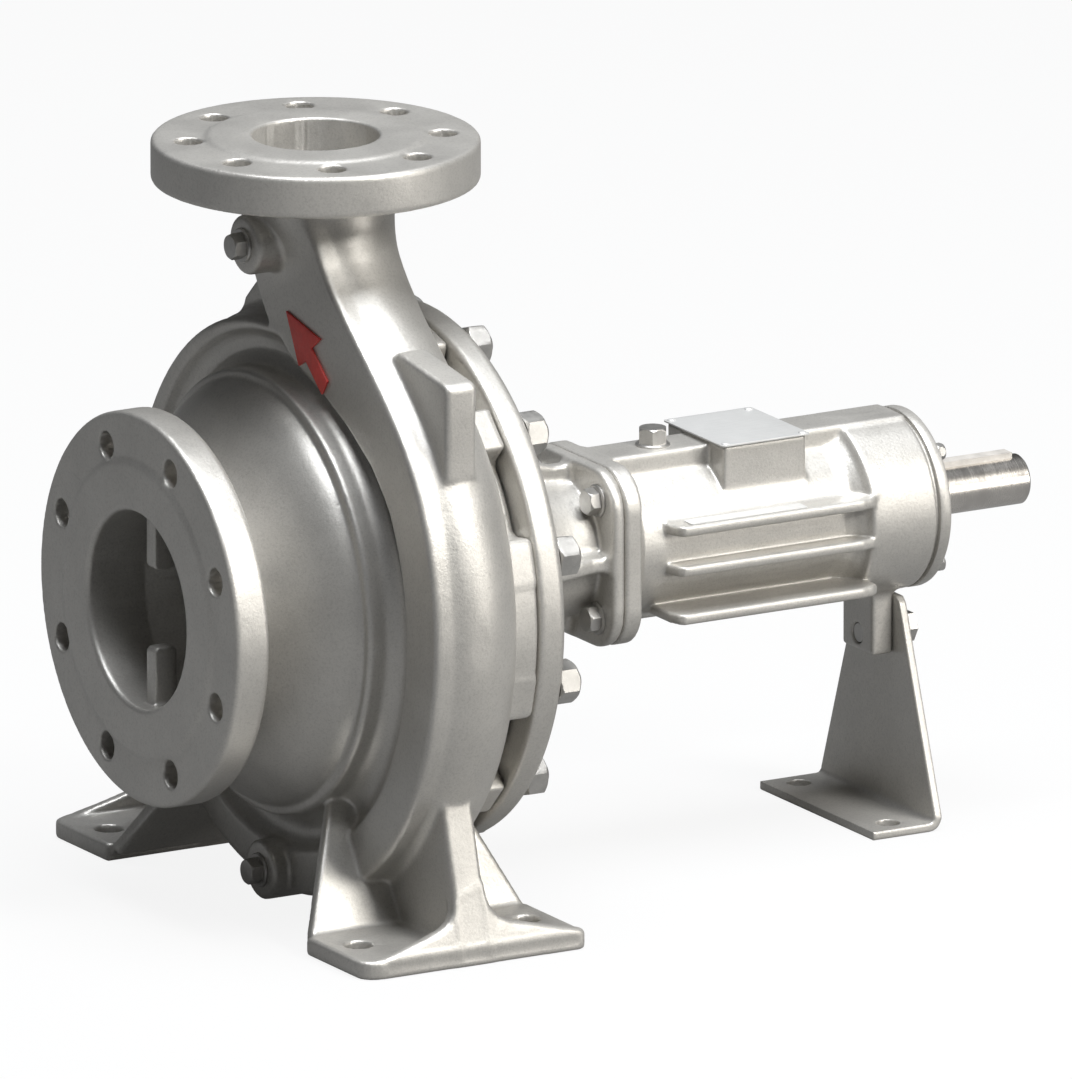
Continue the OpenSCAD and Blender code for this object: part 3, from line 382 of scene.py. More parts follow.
def mesh_object(name, points, faces):
    """A mesh object at the origin."""
    mesh = bpy.data.meshes.new(name)
    mesh.from_pydata([tuple(p) for p in np.asarray(points, float)], [], faces)
    mesh.update()
    obj = bpy.data.objects.new(name, mesh)
    bpy.context.scene.collection.objects.link(obj)
    return obj


def bake_modifiers(obj):
    """Turns what the modifiers show into the object's own mesh."""
    bpy.context.view_layer.update()
    shown = obj.evaluated_get(bpy.context.evaluated_depsgraph_get())
    mesh = bpy.data.meshes.new_from_object(shown)
    obj.modifiers.clear()
    obj.data = mesh


def settle(mesh, angle=None):
    """Faces outwards, shaded smooth, with edges sharper than the angle kept crisp."""
    form = bmesh.new()
    form.from_mesh(mesh)
    bmesh.ops.remove_doubles(form, verts=form.verts, dist=1e-6)
    bmesh.ops.recalc_face_normals(form, faces=form.faces)
    form.to_mesh(mesh)
    form.free()
    mesh.shade_smooth()
    if angle is not None:
        mesh.set_sharp_from_angle(angle=math.radians(angle))


def dress(obj, slot, node):
    """Sends a fixed piece home: body, material slot, finish and the solid it stands for."""
    obj.data.materials.clear()
    obj.data.materials.append(FINISHES[slot])
    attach(obj, ROOT)
    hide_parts(node)


# Node trees
class Wire:
    """An output socket; arithmetic on it adds Math nodes to its tree."""

    def __init__(self, tree, socket):
        self.tree = tree
        self.socket = socket

    def _math(self, operation, first, second=None, clamp=False):
        inputs = {0: first} if second is None else {0: first, 1: second}
        return self.tree.node("ShaderNodeMath", {"operation": operation, "use_clamp": clamp}, inputs)

    def __add__(self, other):
        return self._math("ADD", self, other)

    __radd__ = __add__

    def __mul__(self, other):
        return self._math("MULTIPLY", self, other)

    __rmul__ = __mul__

    def __truediv__(self, other):
        return self._math("DIVIDE", self, other)

    def __rtruediv__(self, other):
        return self._math("DIVIDE", other, self)

    def sine(self):
        return self._math("SINE", self)

    def cosine(self):
        return self._math("COSINE", self)

    def whole(self):
        return self._math("FLOOR", self)

    def rest(self, other):
        return self._math("MODULO", self, other)

    def held(self):
        """Kept between nought and one."""
        return self._math("ADD", self, 0.0, True)


class Tree:
    """A node tree that is written as calls and sums."""

    def __init__(self, tree):
        self.tree = tree

    def node(self, kind, settings=None, inputs=None, output=0):
        """Adds a node: its settings first, then the values or wires of its sockets."""
        node = self.tree.nodes.new(kind)
        for key, value in (settings or {}).items():
            setattr(node, key, value)
        for key, value in (inputs or {}).items():
            socket = node.inputs[key]
            if isinstance(value, Wire):
                self.tree.links.new(value.socket, socket)
            elif socket.type == "RGBA":
                socket.default_value = (*value, 1.0)
            else:
                socket.default_value = value
        return Wire(self, node.outputs[output]) if node.outputs else node


class Finish(Tree):
    """A material whose colour, roughness and grain come from noise in the pump's own space."""

    def __init__(self, name):
        self.material = bpy.data.materials.new(name)
        self.material.use_nodes = True
        super().__init__(self.material.node_tree)
        self.tree.nodes.clear()
        self.place = self.node("ShaderNodeTexCoord", output="Object")

    def stretched(self, x, y, z):
        """The place, scaled on each axis."""
        return self.node("ShaderNodeMapping", None, {"Vector": self.place, "Scale": (x, y, z)})

    def noise(self, scale, detail=3.0, rough=0.55, place=None, output="Fac"):
        return self.node(
            "ShaderNodeTexNoise", None,
            {"Vector": place or self.place, "Scale": scale, "Detail": detail, "Roughness": rough},
            output,
        )

    def level(self, wire, low, high, to_low=0.0, to_high=1.0):
        return self.node(
            "ShaderNodeMapRange", {"clamp": True},
            {"Value": wire, "From Min": low, "From Max": high, "To Min": to_low, "To Max": to_high},
        )

    def mix(self, share, a, b):
        """Colour a turning into colour b with the share."""
        return self.node("ShaderNodeMix", {"data_type": "RGBA"}, {0: share, 6: a, 7: b}, 2)

    def bump(self, height, strength, distance, normal=None):
        inputs = {"Height": height, "Strength": strength, "Distance": distance}
        if normal is not None:
            inputs["Normal"] = normal
        return self.node("ShaderNodeBump", None, inputs, "Normal")

    def surface(self, colour, roughness, metallic, normal=None, **constants):
        """Ends the tree in the usual surface; constants go on its own sockets."""
        inputs = {"Base Color": colour, "Roughness": roughness, "Metallic": metallic}
        if normal is not None:
            inputs["Normal"] = normal
        inputs.update({key.replace("_", " "): value for key, value in constants.items()})
        shader = self.node("ShaderNodeBsdfPrincipled", None, inputs, "BSDF")
        self.node("ShaderNodeOutputMaterial", None, {"Surface": shader})
        return self.material


def tint(colour, factor):
    """The colour, darker or lighter."""
    return tuple(min(1.0, c * factor) for c in colour)


def blasted_casting(name, colour, grain=1.0):
    """Blasted sand casting: fine bright grain, soft blotches, and painted shade that darkens the hollows of
    its grain.
    """
    f = Finish(name)
    blotch = f.noise(22.0, 5.0, 0.6)
    fine = f.noise(1500.0, 2.0, 0.6)
    sand = f.noise(620.0, 3.0, 0.65)
    pits = f.node("ShaderNodeTexVoronoi", None, {"Vector": f.place, "Scale": 480.0}, "Distance")
    waves = f.noise(60.0, 3.0, 0.5)
    tone = f.mix(f.level(blotch, 0.3, 0.7), tint(colour, 0.90), tint(colour, 1.08))
    tone = f.mix(f.level(fine, 0.35, 0.75) * 0.35, tone, tint(colour, 1.35))
    # painted shade: the colour is darkened where the sand grain lies low, which are the hollows of the bump
    # below
    tone = f.mix(f.level(sand, 0.52, 0.3) * 0.30, tone, tint(colour, 0.55))
    rough = f.level(blotch * 0.5 + fine * 0.5, 0.3, 0.7, 0.38, 0.5)
    height = sand * 0.55 + fine * 0.25 + pits * 0.25
    normal = f.bump(waves, 0.25 * grain, 0.0012)
    normal = f.bump(height, 0.45 * grain, 0.00035, normal)
    return f.surface(tone, rough, 0.65, normal)


def turned_steel(name, colour, rough=0.3, marks=0.35, metallic=1.0):
    """Steel turned or ground on a lathe: fine rings across the shaft and faint stains."""
    f = Finish(name)
    rings = f.noise(1.0, 4.0, 0.7, f.stretched(2600.0, 40.0, 40.0))
    stain = f.noise(45.0, 4.0, 0.6)
    tone = f.mix(f.level(stain, 0.35, 0.7), tint(colour, 0.86), tint(colour, 1.08))
    tone = f.mix(f.level(rings, 0.4, 0.65) * marks, tone, tint(colour, 0.72))
    spread = f.level(rings * 0.6 + stain * 0.4, 0.3, 0.7, rough * 0.8, rough * 1.3)
    return f.surface(tone, spread, metallic, f.bump(rings, marks * 0.7, 0.0001))


def plated_bolting(name, colour, metallic=0.85):
    """Dull plated steel with small scuffs."""
    f = Finish(name)
    cloud = f.noise(90.0, 4.0, 0.6)
    scuff = f.noise(700.0, 2.0, 0.7)
    tone = f.mix(f.level(cloud, 0.3, 0.7), tint(colour, 0.82), tint(colour, 1.12))
    tone = f.mix(f.level(scuff, 0.6, 0.8) * 0.5, tone, tint(colour, 1.5))
    rough = f.level(cloud * 0.5 + scuff * 0.5, 0.3, 0.7, 0.32, 0.5)
    return f.surface(tone, rough, metallic, f.bump(scuff, 0.25, 0.0002))


def painted(name, colour, rough=0.45):
    """Brushed-on paint: small ripples and a slightly uneven shade."""
    f = Finish(name)
    cloud = f.noise(70.0, 4.0, 0.6)
    skin = f.noise(500.0, 3.0, 0.6)
    tone = f.mix(f.level(cloud, 0.3, 0.7), tint(colour, 0.85), tint(colour, 1.12))
    spread = f.level(skin, 0.3, 0.7, rough - 0.08, rough + 0.1)
    return f.surface(tone, spread, 0.0, f.bump(skin, 0.35, 0.0003))


def bare_plate(name, colour):
    """Satin plate with long brushed lines."""
    f = Finish(name)
    lines = f.noise(1.0, 3.0, 0.7, f.stretched(60.0, 3200.0, 60.0))
    cloud = f.noise(60.0, 4.0, 0.6)
    tone = f.mix(f.level(lines, 0.35, 0.7) * 0.5, colour, tint(colour, 0.78))
    tone = f.mix(f.level(cloud, 0.4, 0.75) * 0.3, tone, tint(colour, 1.15))
    return f.surface(tone, f.level(lines, 0.3, 0.7, 0.34, 0.5), 0.35, f.bump(lines, 0.2, 0.0001))


def soft_dark(name, colour, rough):
    """Rubber, graphite or seal carbon: dull, with a dusty bloom."""
    f = Finish(name)
    dust = f.noise(160.0, 5.0, 0.65)
    skin = f.noise(900.0, 2.0, 0.6)
    tone = f.mix(f.level(dust, 0.45, 0.75) * 0.6, colour, tuple(c + 0.06 for c in colour))
    spread = f.level(dust, 0.3, 0.7, rough - 0.08, rough + 0.08)
    return f.surface(tone, spread, 0.0, f.bump(skin, 0.3, 0.0002))


FINISHES = {}


# Volute, millimetres
NECK_R = 50.0
MID_R = 164.0
DOME_R = 162.0
FRONT_X = 30.0
BACK_X = 44.0
NECK_START = 300.0
DISCHARGE_BACK = 261.0
START = MID_R * np.array([sind(NECK_START), cosd(NECK_START)])
TOP = np.array([0.0, DISCHARGE_BACK + 7])
CURVE = [
    START,
    START + 75 * np.array([cosd(NECK_START), -sind(NECK_START)]),
    TOP - (0, 95),
    TOP,
]


def neck_at(t):
    """Middle of the swan neck and the direction across it, at t from 0 to 1."""
    u = 1 - t
    c = u**3 * CURVE[0] + 3 * t * u * u * CURVE[1] + 3 * t * t * u * CURVE[2] + t**3 * CURVE[3]
    d = (
        3 * u * u * (CURVE[1] - CURVE[0])
        + 6 * t * u * (CURVE[2] - CURVE[1])
        + 3 * t * t * (CURVE[3] - CURVE[2])
    )
    d = d / np.linalg.norm(d)
    return c, np.array([-d[1], d[0]])


def smooth(a, b, t):
    """Nought before a, one after b and an easy rise between them."""
    u = min(1.0, max(0.0, (t - a) / (b - a)))
    return u * u * (3 - 2 * u)


def edge_q(th):
    """The volute's front edge, from its middle radius."""
    return 170 + 33 * th / 270 - MID_R


def inner_q(th):
    """The inner end of the volute's section, from its middle radius."""
    return -14 - 28 * min(1.0, max(0.0, (th - 150) / 150))


DOME_ANGLES = np.arange(108, -1, -4)
FRONT_ANGLES = np.linspace(225, 134, 24)
INNER_ANGLES = np.linspace(330, 240, 20)


def outer_section(qc, qi, crisp=2.5):
    """The casing's section: flat front, narrow band, round back."""
    front = [(-FRONT_X, qi + (qc - crisp - qi) * i / 23) for i in range(24)]
    edge = [(-FRONT_X + crisp * 0.3, qc - crisp * 0.3), (-FRONT_X + crisp, qc), (-17, qc + 0.5)]
    dome = [(BACK_X * cosd(a), DOME_R - MID_R + (qc + 6) * sind(a)) for a in DOME_ANGLES]
    inner = [(BACK_X + (-FRONT_X - BACK_X) * i / 21, qi) for i in range(20)]
    return np.array(front + edge + dome + inner)


def round_section(radius):
    """A circle with the same number of points as the volute's section."""
    angles = list(FRONT_ANGLES) + [131, 127, 119] + list(DOME_ANGLES) + list(INNER_ANGLES)
    return np.array([(radius * cosd(a), radius * sind(a)) for a in angles])


def on_spoke(section, th):
    """The section set round the shaft at an angle from the top."""
    r = MID_R + section[:, 1]
    return np.stack([section[:, 0], r * sind(th), SHAFT_H + r * cosd(th)], axis=1)


def on_neck(section, t):
    """The section set across the swan neck."""
    c, n = neck_at(t)
    return np.stack([
        section[:, 0], c[0] + section[:, 1] * n[0], SHAFT_H + c[1] + section[:, 1] * n[1]
    ], axis=1)


def oval(xc, qc, ax, aq, n=48):
    """The passage's section."""
    a = np.arange(n) * 2 * math.pi / n
    return np.stack([xc - ax * np.cos(a), qc + aq * np.sin(a)], axis=1)


def volute_solids():
    """Outside of the volute with its neck, in two runs, and the passage inside them."""
    reach, round_r, half_width = 33, 39.6, 28
    first = lofted([on_spoke(outer_section(edge_q(t), inner_q(t)), t) for t in range(-12, 145, 3)])
    last = [on_spoke(outer_section(edge_q(t), inner_q(t)), t) for t in range(144, 298, 3)]
    end = outer_section(edge_q(NECK_START), inner_q(NECK_START))
    for i in range(41):
        w = smooth(0.72, 1.0, i / 40)
        last.append(on_neck(end * (1 - w) + round_section(NECK_R) * w, i / 40))
    passage = []
    for t in range(8, 298, 4):
        a = reach * math.sqrt((t + 20) / 320)
        passage.append(on_spoke(oval(5, 131 + a - MID_R, 10 + 18 * t / 300, a), t))
    for i in range(21):
        t = i / 20 * 10 / 11
        w = smooth(0.72, 1.0, t)
        q = reach * (1 - t) + round_r * t
        passage.append(on_neck(oval(5 * (1 - w), 0, half_width * (1 - w) + round_r * w, q), t))
    return first, lofted(last), lofted(passage)


def bowl_outline():
    """The (radius, x) outline of the suction flange, its neck and the bowl behind it."""
    x0, x1, r0, r1 = -93, -41, 86, 134.5
    outline = [(40, SUCTION_X), (94, SUCTION_X), (94, -128), (124, -128), (125, -127), (125, -105)]
    outline += [(124, -104), (96, -104)] + arc(96, -94, 10, 270, 180, 8)
    for i in range(1, 25):
        u = i / 24
        swell = sind(90 * u) * 0.45 + smooth(0, 1, u) * 0.55
        outline.append((r0 + (r1 - r0) * swell, x0 + (x1 - x0) * u))
    outline += [(136.5, -41), (136.5, -43), (142, -43), (142, -26), (152, -22), (152, 62), (40, 62)]
    return outline


def foot_solids():
    """One casing foot on the near side: base, leaning plate, rib and low wings."""
    half, edge, inner = 80.0, -200.0, -126.0
    corner = arc(-half + 13, edge + 13, 13, 270, 180, 8)
    base = prism([(-half, inner), (half, inner), (half, edge + 3), (half - 3, edge)] + corner, 0, 12, "xy")
    plate = prism([
        (4 - half, 0), (5 - half, 6), (-37, 90), (-34, 98), (45, 98), (half - 3, 6), (half - 2, 0),
    ], 0, 9, "xz")
    plate = spun(moved(plate, (0, inner, 8)), -31, (0, inner, 12))
    lean = 0.27
    rib = prism([
        (edge, 1), (edge, 12), (edge + 96 * lean, 108), (-96, 108), (-96, 70), (-126, 1),
    ], -11, 11, "yz")
    wings, quads, triangles = prism([
        (-half + 13, 1), (-half + 13, 12), (-35, 20.5), (-22, 24.8), (-16.5, 28.5), (-12.8, 34), (-11, 42),
        (11, 50), (12.5, 41), (15.3, 33.5), (20, 28), (27, 24.5), (half - 2, 12.5), (half - 2, 1),
    ], edge, edge + 9, "xz")
    wings[:, 1] += np.maximum(wings[:, 2] - 12, 0) * lean
    return base, plate, rib, (wings, quads, triangles)


def stud_angles(count):
    """Turns of the joint's studs, with none of them straight above the shaft."""
    return [(360 * i + 180) / count for i in range(count)]


# Finishes and castings
class PUMP_OT_finishes(bpy.types.Operator):
    """Makes the finishes and gives each bare solid the one it has"""

    bl_idname = "pump.finishes"
    bl_label = "Finishes"

    def execute(self, context):
        c = context.scene.pump_colours
        casting, steel = tuple(c.casting), tuple(c.shaft)
        cast = blasted_casting("blasted_casting", casting)
        FINISHES.update(
            cast_casing=cast, cast_lantern=cast, cast_housing=cast,
            plate_steel=blasted_casting("blasted_plate", tint(casting, 1.04), 0.6),
            bolting=plated_bolting("plated_bolting", tuple(c.bolting)),
            shaft_steel=turned_steel("ground_shaft", steel, 0.24, 0.12),
            machined=turned_steel("turned_steel", tint(steel, 0.92), 0.34),
            bearing_steel=turned_steel("bearing_steel", (0.72, 0.72, 0.74), 0.12),
            bronze=turned_steel("turned_bronze", (0.62, 0.42, 0.20), 0.3),
            gasket=soft_dark("graphite_gasket", (0.05, 0.05, 0.055), 0.6),
            seal_face=soft_dark("seal_carbon", (0.06, 0.06, 0.065), 0.35),
            lip_rubber=soft_dark("lip_rubber", (0.025, 0.025, 0.025), 0.7),
            plate=bare_plate("bare_plate", (0.62, 0.62, 0.61)),
            arrow_red=painted("arrow_paint", tuple(c.arrow)),
        )
        key = plated_bolting("key_steel", tint(steel, 1.15), 0.4)
        slots = {s["node"]: s["material_slot"] for s in frame["record"]["subparts"]}
        for name, obj in frame["nodes"].items():
            finish = key if name == "coupling_key" else FINISHES[slots[name]]
            for place in obj.material_slots:
                place.material = finish
        return {"FINISHED"}


class PUMP_OT_volute(bpy.types.Operator):
    """Casts the volute casing with its flanges, swan neck and feet"""

    bl_idname = "pump.volute"
    bl_label = "Volute casing"

    def execute(self, context):
        sizes = context.scene.pump_sizes
        fillet = sizes.fillet / MM
        body = Casting((SUCTION_X, -206.5, 0), (103, 206.5, DISCHARGE_TOP), sizes.casting_step / MM)
        body.join(revolved(bowl_outline()))
        first, last, passage = volute_solids()
        body.join(first, 2.0)
        body.join(last, 3.0)
        groove = arc(153, -33, 11.8, 180, 0, 24) + [(164.8, -96), (141.2, -96)]
        beside_neck = prism([
            (24, 402), (19, 394), (-3, 367), (-17, 354), (-38, 346), (-60, 339), (-90, 325),
            (-120, 306), (-143, 283), (-160, 300), (-100, 380),
        ], -110, 10, "yz")
        body.cut(revolved(groove), 2.0, spare=beside_neck)
        stud_lug = prism([(-15, 344), (15, 344), (15, 370.2), (-15, 370.2)], 36, 62, "yz")
        for turn in stud_angles(sizes.stud_count):
            body.join(spun(stud_lug, turn), 4.0)
        rim = revolved([(146, 38), (171, 38), (171, 62), (146, 62)])
        for low, high in ((-190, -120), (120, 190)):
            body.join_common(rim, block((30, low, 144.5), (70, high, 255.5)), 3.0)
        for solid in foot_solids():
            body.join(solid, fillet)
            body.join(mirrored(solid), fillet)
        for x, z in PLUG_SEATS.values():
            body.join(rod(x, x + 30, 19, 0, z), 4.0)
        wedge_lug = prism([
            (-182, 308), (-183, 367), (-180, 370), (-120, 378), (-100, 350), (-150, 300),
        ], -11, 11, "yz")
        body.join(wedge_lug, 4.0)
        neck_web = prism([
            (0, 350), (88, 350), (80, 368), (62, 385), (48, 408), (38, 435), (10, 435),
        ], -6, 6, "yz")
        body.join(neck_web, 6.0)
        flange = [(0, 448), (51, 448)] + arc(60, 452, 9, 180, 90, 8)
        flange += [(101.5, 461), (103, 462.5), (103, 486.5), (101.5, 488), (68, 488)]
        body.join(upright(flange + [(68, DISCHARGE_TOP), (0, DISCHARGE_TOP)]), 1.5)
        body.soften(1.2)
        body.cut(revolved([
            (0, -131), (65, -131), (62.5, -127.5), (62.5, -88), (52, -60), (52, -52), (66.3, -52),
            (66.3, -36), (69.3, -33), (128, -20), (134, -14), (134, 30), (140, 30), (140, 63), (0, 63),
        ]), 1.0)
        body.cut(passage, 2.0)
        body.cut(post(440, 500, 40, 0, 0), 1.0)
        hole = rod(-131, -100, FLANGE_HOLE_R, 0, SHAFT_H + SUCTION_BOLTS_R)
        for i in range(8):
            turn = 22.5 + 45 * i
            x, y = DISCHARGE_BOLTS_R * cosd(turn), DISCHARGE_BOLTS_R * sind(turn)
            body.cut(spun(hole, turn), 0.8)
            body.cut(post(458, 491, FLANGE_HOLE_R, x, y), 0.8)
        for x, y in FOOT_HOLES:
            body.cut(post(-2, 30, 9, x, y), 0.8)
        swirl_rib = prism(rounded_outline(-119, 225, -103, 275, 4), -5.2, 5.2, "xz")
        for turn in (0, 180):
            body.join(spun(swirl_rib, turn), 3.0)
        dress(body.piece("volute_casing_cast"), "cast_casing", "volute_casing")
        return {"FINISHED"}


def square_plate(x0, x1, half=58, corner=27):
    """The square joint flange with round corners."""
    return prism(rounded_outline(-half, SHAFT_H - half, half, SHAFT_H + half, corner, 12), x0, x1, "yz")


def waist(n, wall=0.0):
    """The (radius, x) run of the lantern's neck, in n steps, or of its inside given the wall."""
    back_r, front_r, run = 43, 98, 98
    return [
        (back_r + (front_r - back_r) * (1 - i / n) ** 2.6 - wall, JOINT_BACK + run * i / n)
        for i in range(n + 1)
    ]


class PUMP_OT_lantern(bpy.types.Operator):
    """Casts the waisted lantern between casing and bearing housing"""

    bl_idname = "pump.lantern"
    bl_label = "Lantern"

    def execute(self, context):
        sizes = context.scene.pump_sizes
        body = Casting((63, -171, 29), (LANTERN_BACK, 171, 371), 1.5)
        body.join(revolved([
            (60, 63), (169.5, 63), (171, 64.5), (171, 79), (167, JOINT_BACK), (60, JOINT_BACK),
        ]))
        body.join(revolved([(0, 81)] + waist(30) + [(43, 183), (0, 183)]), 3.0)
        body.join(square_plate(181, LANTERN_BACK), 3.0)
        side = [(82, 0), (82, 101), (117, 70), (169, 54), (182, 54), (182, 0)]
        web = prism([(x, SHAFT_H + r) for x, r in side], -5, 5, "xz")
        for quarter in range(4):
            body.join(spun(web, 90 * quarter), 6.0)
        body.soften(1.0)
        inside = [(0, 62), (140, 62), (140, 69.3), (100, 69.3)] + waist(20, 8)
        body.cut(revolved(inside + [(35, 184), (45, 184), (45, 191), (0, 191)]))
        hole = rod(60, 90, 9, 0, SHAFT_H + round(sizes.stud_circle / MM, 3))
        for turn in stud_angles(sizes.stud_count):
            body.cut(spun(hole, turn))
        for y, z in LANTERN_BOLTS:
            body.cut(rod(170, 192, 5.5, y, z))
        dress(body.piece("lantern_cast"), "cast_lantern", "lantern")
        return {"FINISHED"}


class PUMP_OT_housing(bpy.types.Operator):
    """Casts the finned bearing housing"""

    bl_idname = "pump.housing"
    bl_label = "Bearing housing"

    def execute(self, context):
        body = Casting((LANTERN_BACK, -60, 104), (HOUSING_BACK, 60, 260), 1.1)
        body.join(square_plate(LANTERN_BACK, 202.5))
        body.join(revolved([
            (0, 195), (53, 202), (47, 210), (47, 355), (49, 362), (53, 368), (57.5, 371),
            (57.5, HOUSING_BACK), (0, HOUSING_BACK),
        ]), 3.0)
        top_spine = block((198, -17, 200), (416.5, 17, 257.3))
        plate_pad = block((274, -35.5, 200), (334, 35.5, 260))
        low_spine = block((198, -17, 150), (371, 17, 170))
        for solid in (top_spine, plate_pad, low_spine):
            body.join(solid, 3.0)
        edge = [(226, 48), (229, 57), (232, 60), (361, 60), (370, 58), (375, 54)]
        for z in (212, 186, 155):
            for side in (-1, 1):
                fin = [(226, 0)] + [(x, side * y) for x, y in edge] + [(375, 0)]
                body.join(prism(fin, z, z + 7, "xy"), 3.0)
        body.join(block((392, -19, 104), (407, 19, 164)), 6.0)
        body.soften(0.9)
        for x0, x1, bore in ((189, 230, 40), (210, 388, 36), (386, 418, 45)):
            body.cut(rod(x0, x1, bore))
        body.cut(post(220, 280, 8, OIL_PLUG_X, 0))
        body.cut(rod(391, 408, 6.5, 0, SUPPORT_BOLT_Z))
        for y, z in LANTERN_BOLTS:
            body.cut(rod(189, 202, 5, y, z))
        hole = rod(403, 418, 3, 0, SHAFT_H + END_COVER_BOLTS_R)
        for i in range(4):
            body.cut(spun(hole, 45 + 90 * i))
        dress(body.piece("bearing_housing_cast"), "cast_housing", "bearing_housing")
        return {"FINISHED"}


class PUMP_OT_support(bpy.types.Operator):
    """Bends the support foot and turns the rear bearing cover"""

    bl_idname = "pump.support"
    bl_label = "Support foot and end cover"

    def execute(self, context):
        front, bend_x, bend_r, thick = 362.5, 403.5, 9, 5.5
        body = Casting((front, -71, 0), (SUPPORT_BACK, 71, 142), 0.9)
        outer = [(front, 0)] + arc(bend_x, bend_r, bend_r, 270, 360, 10) + [(SUPPORT_BACK, 142)]
        inner = [(SUPPORT_BACK - thick, 142)] + arc(bend_x, bend_r, bend_r - thick, 360, 270, 8)
        inner.append((front, thick))
        body.join(prism(outer + inner, -80, 80, "xz"))
        beside = [(22, 142), (26, 138), (71, 9), (100, 9), (100, 160)]
        body.cut(prism(beside + [(-y, z) for y, z in beside[::-1]], 355, 420, "yz"))
        for x, y in SUPPORT_HOLES:
            body.cut(post(-1, 20, 7.5, x, y))
        body.cut(rod(406, 414, 6.5, 0, SUPPORT_BOLT_Z))
        dress(body.piece("support_foot_bent"), "plate_steel", "support_foot")
        cover = turned_part("rear_bearing_cover_turned", [
            (25, 413), (39, 413), (39, 409.1), (44.95, 409.1), (44.95, 417.4), (54.6, 417.4),
            (54.6, 419.2), (56.6, 419.2), (57.2, 419.5), (57.5, 420.1), (57.5, 425.6), (57.2, 426.6),
            (56.2, 427.4), (38, END_COVER_BACK), (37, 426.6), (34, 426.6), (33, END_COVER_BACK),
            (25, END_COVER_BACK),
        ], 120, 30, SHAFT_H)
        dress(cover, "cast_housing", "rear_bearing_cover")
        return {"FINISHED"}


# Fasteners
UPRIGHT = Matrix.Rotation(math.radians(-90), 4, "Y")


def hex_piece(name, flats, levels, turns=72):
    """A six-sided turned piece along +X; each level is (x, radius or None for the full hexagon)."""
    rows = []
    for x, cap in levels:
        row = []
        for i in range(turns):
            a = 360 * i / turns
            corner = flats / 2 / math.cos(math.radians((a % 60) - 30))
            r = corner if cap is None else min(corner, cap)
            row.append((x, r * sind(a), r * cosd(a)))
        rows.append(row)
    points = [p for row in rows for p in row]
    faces = []
    for k in range(len(rows) - 1):
        for i in range(turns):
            j = (i + 1) % turns
            faces.append((k * turns + i, k * turns + j, (k + 1) * turns + j, (k + 1) * turns + i))
    for k, cap in ((0, levels[0][1]), (len(rows) - 1, levels[-1][1])):
        if cap is None or cap > 0.1:
            faces.append(tuple(range(k * turns, (k + 1) * turns)))
    obj = mesh_object(name, np.array(points) * MM, faces)
    settle(obj.data, 28)
    return obj


def nut_levels(height, flats, bore=0.0, depth=3.0):
    """Levels of a nut or head seated at x = 0 with both ends chamfered."""
    corner = flats / math.sqrt(3)
    levels = [(0.0, flats / 2 * 0.97), (0.5, flats / 2 * 1.01)]
    levels += [(0.5 + 0.35 * i, flats / 2 * 1.01 + 0.62 * i) for i in range(1, 4)]
    levels += [(1.9, None), (height - 1.9, None)]
    for i in range(5, -1, -1):
        levels.append((height - 0.28 * i, flats / 2 * 0.99 + (corner - flats / 2) * i / 5.5))
    if bore:
        levels += [(height, bore + 1.0), (height - 1.0, bore), (height - depth, bore), (height - depth, 0.05)]
    else:
        levels += [(height + 0.15, flats / 2 * 0.8), (height + 0.2, 0.05)]
    return levels


def turned_part(name, profile, turns=48, angle=35, height=0.0):
    """A turned piece along +X, from a (radius, x) outline; its axis runs at the height."""
    points, quads, _ = revolved(profile, turns)
    obj = mesh_object(name, (points - (0, 0, SHAFT_H - height)) * MM, quads.tolist())
    settle(obj.data, angle)
    return obj


def screw(name, height, flats, shank, collar=None, way=1):
    """A hexagon screw seated at the origin, its head towards +X, or towards -X where way is -1."""
    levels = [(way * x, r) for x, r in nut_levels(height, flats)][::way]
    parts = [hex_piece("head", flats, levels)]
    if collar:
        full, top = collar
        side = [(0, 0), (full, 0), (full, 1.2), (top, 2), (0, 2)]
        parts.append(turned_part("collar", [(r, way * x) for r, x in side][::way]))
    parts.append(turned_part("shank", bar_outline(*shank)))
    return merged(name, *parts)


def merged(name, *parts):
    """Several loose pieces as one mesh."""
    form = bmesh.new()
    for part in parts:
        form.from_mesh(part.data)
        bpy.data.objects.remove(part)
    mesh = bpy.data.meshes.new(name)
    form.to_mesh(mesh)
    form.free()
    mesh.shade_smooth()
    mesh.set_sharp_from_angle(angle=math.radians(30))
    obj = bpy.data.objects.new(name, mesh)
    bpy.context.scene.collection.objects.link(obj)
    return obj


def group_tree(name, inputs):
    """An empty geometry tree with a mesh in, a mesh out and the named inputs."""
    tree = bpy.data.node_groups.new(name, "GeometryNodeTree")
    face = tree.interface
    face.new_socket("Geometry", in_out="INPUT", socket_type="NodeSocketGeometry")
    for label, kind in inputs:
        face.new_socket(label, in_out="INPUT", socket_type=kind)
    face.new_socket("Geometry", in_out="OUTPUT", socket_type="NodeSocketGeometry")
    entry = tree.nodes.new("NodeGroupInput")
    build = Tree(tree)
    return build, {s.name: Wire(build, s) for s in entry.outputs if s.name}


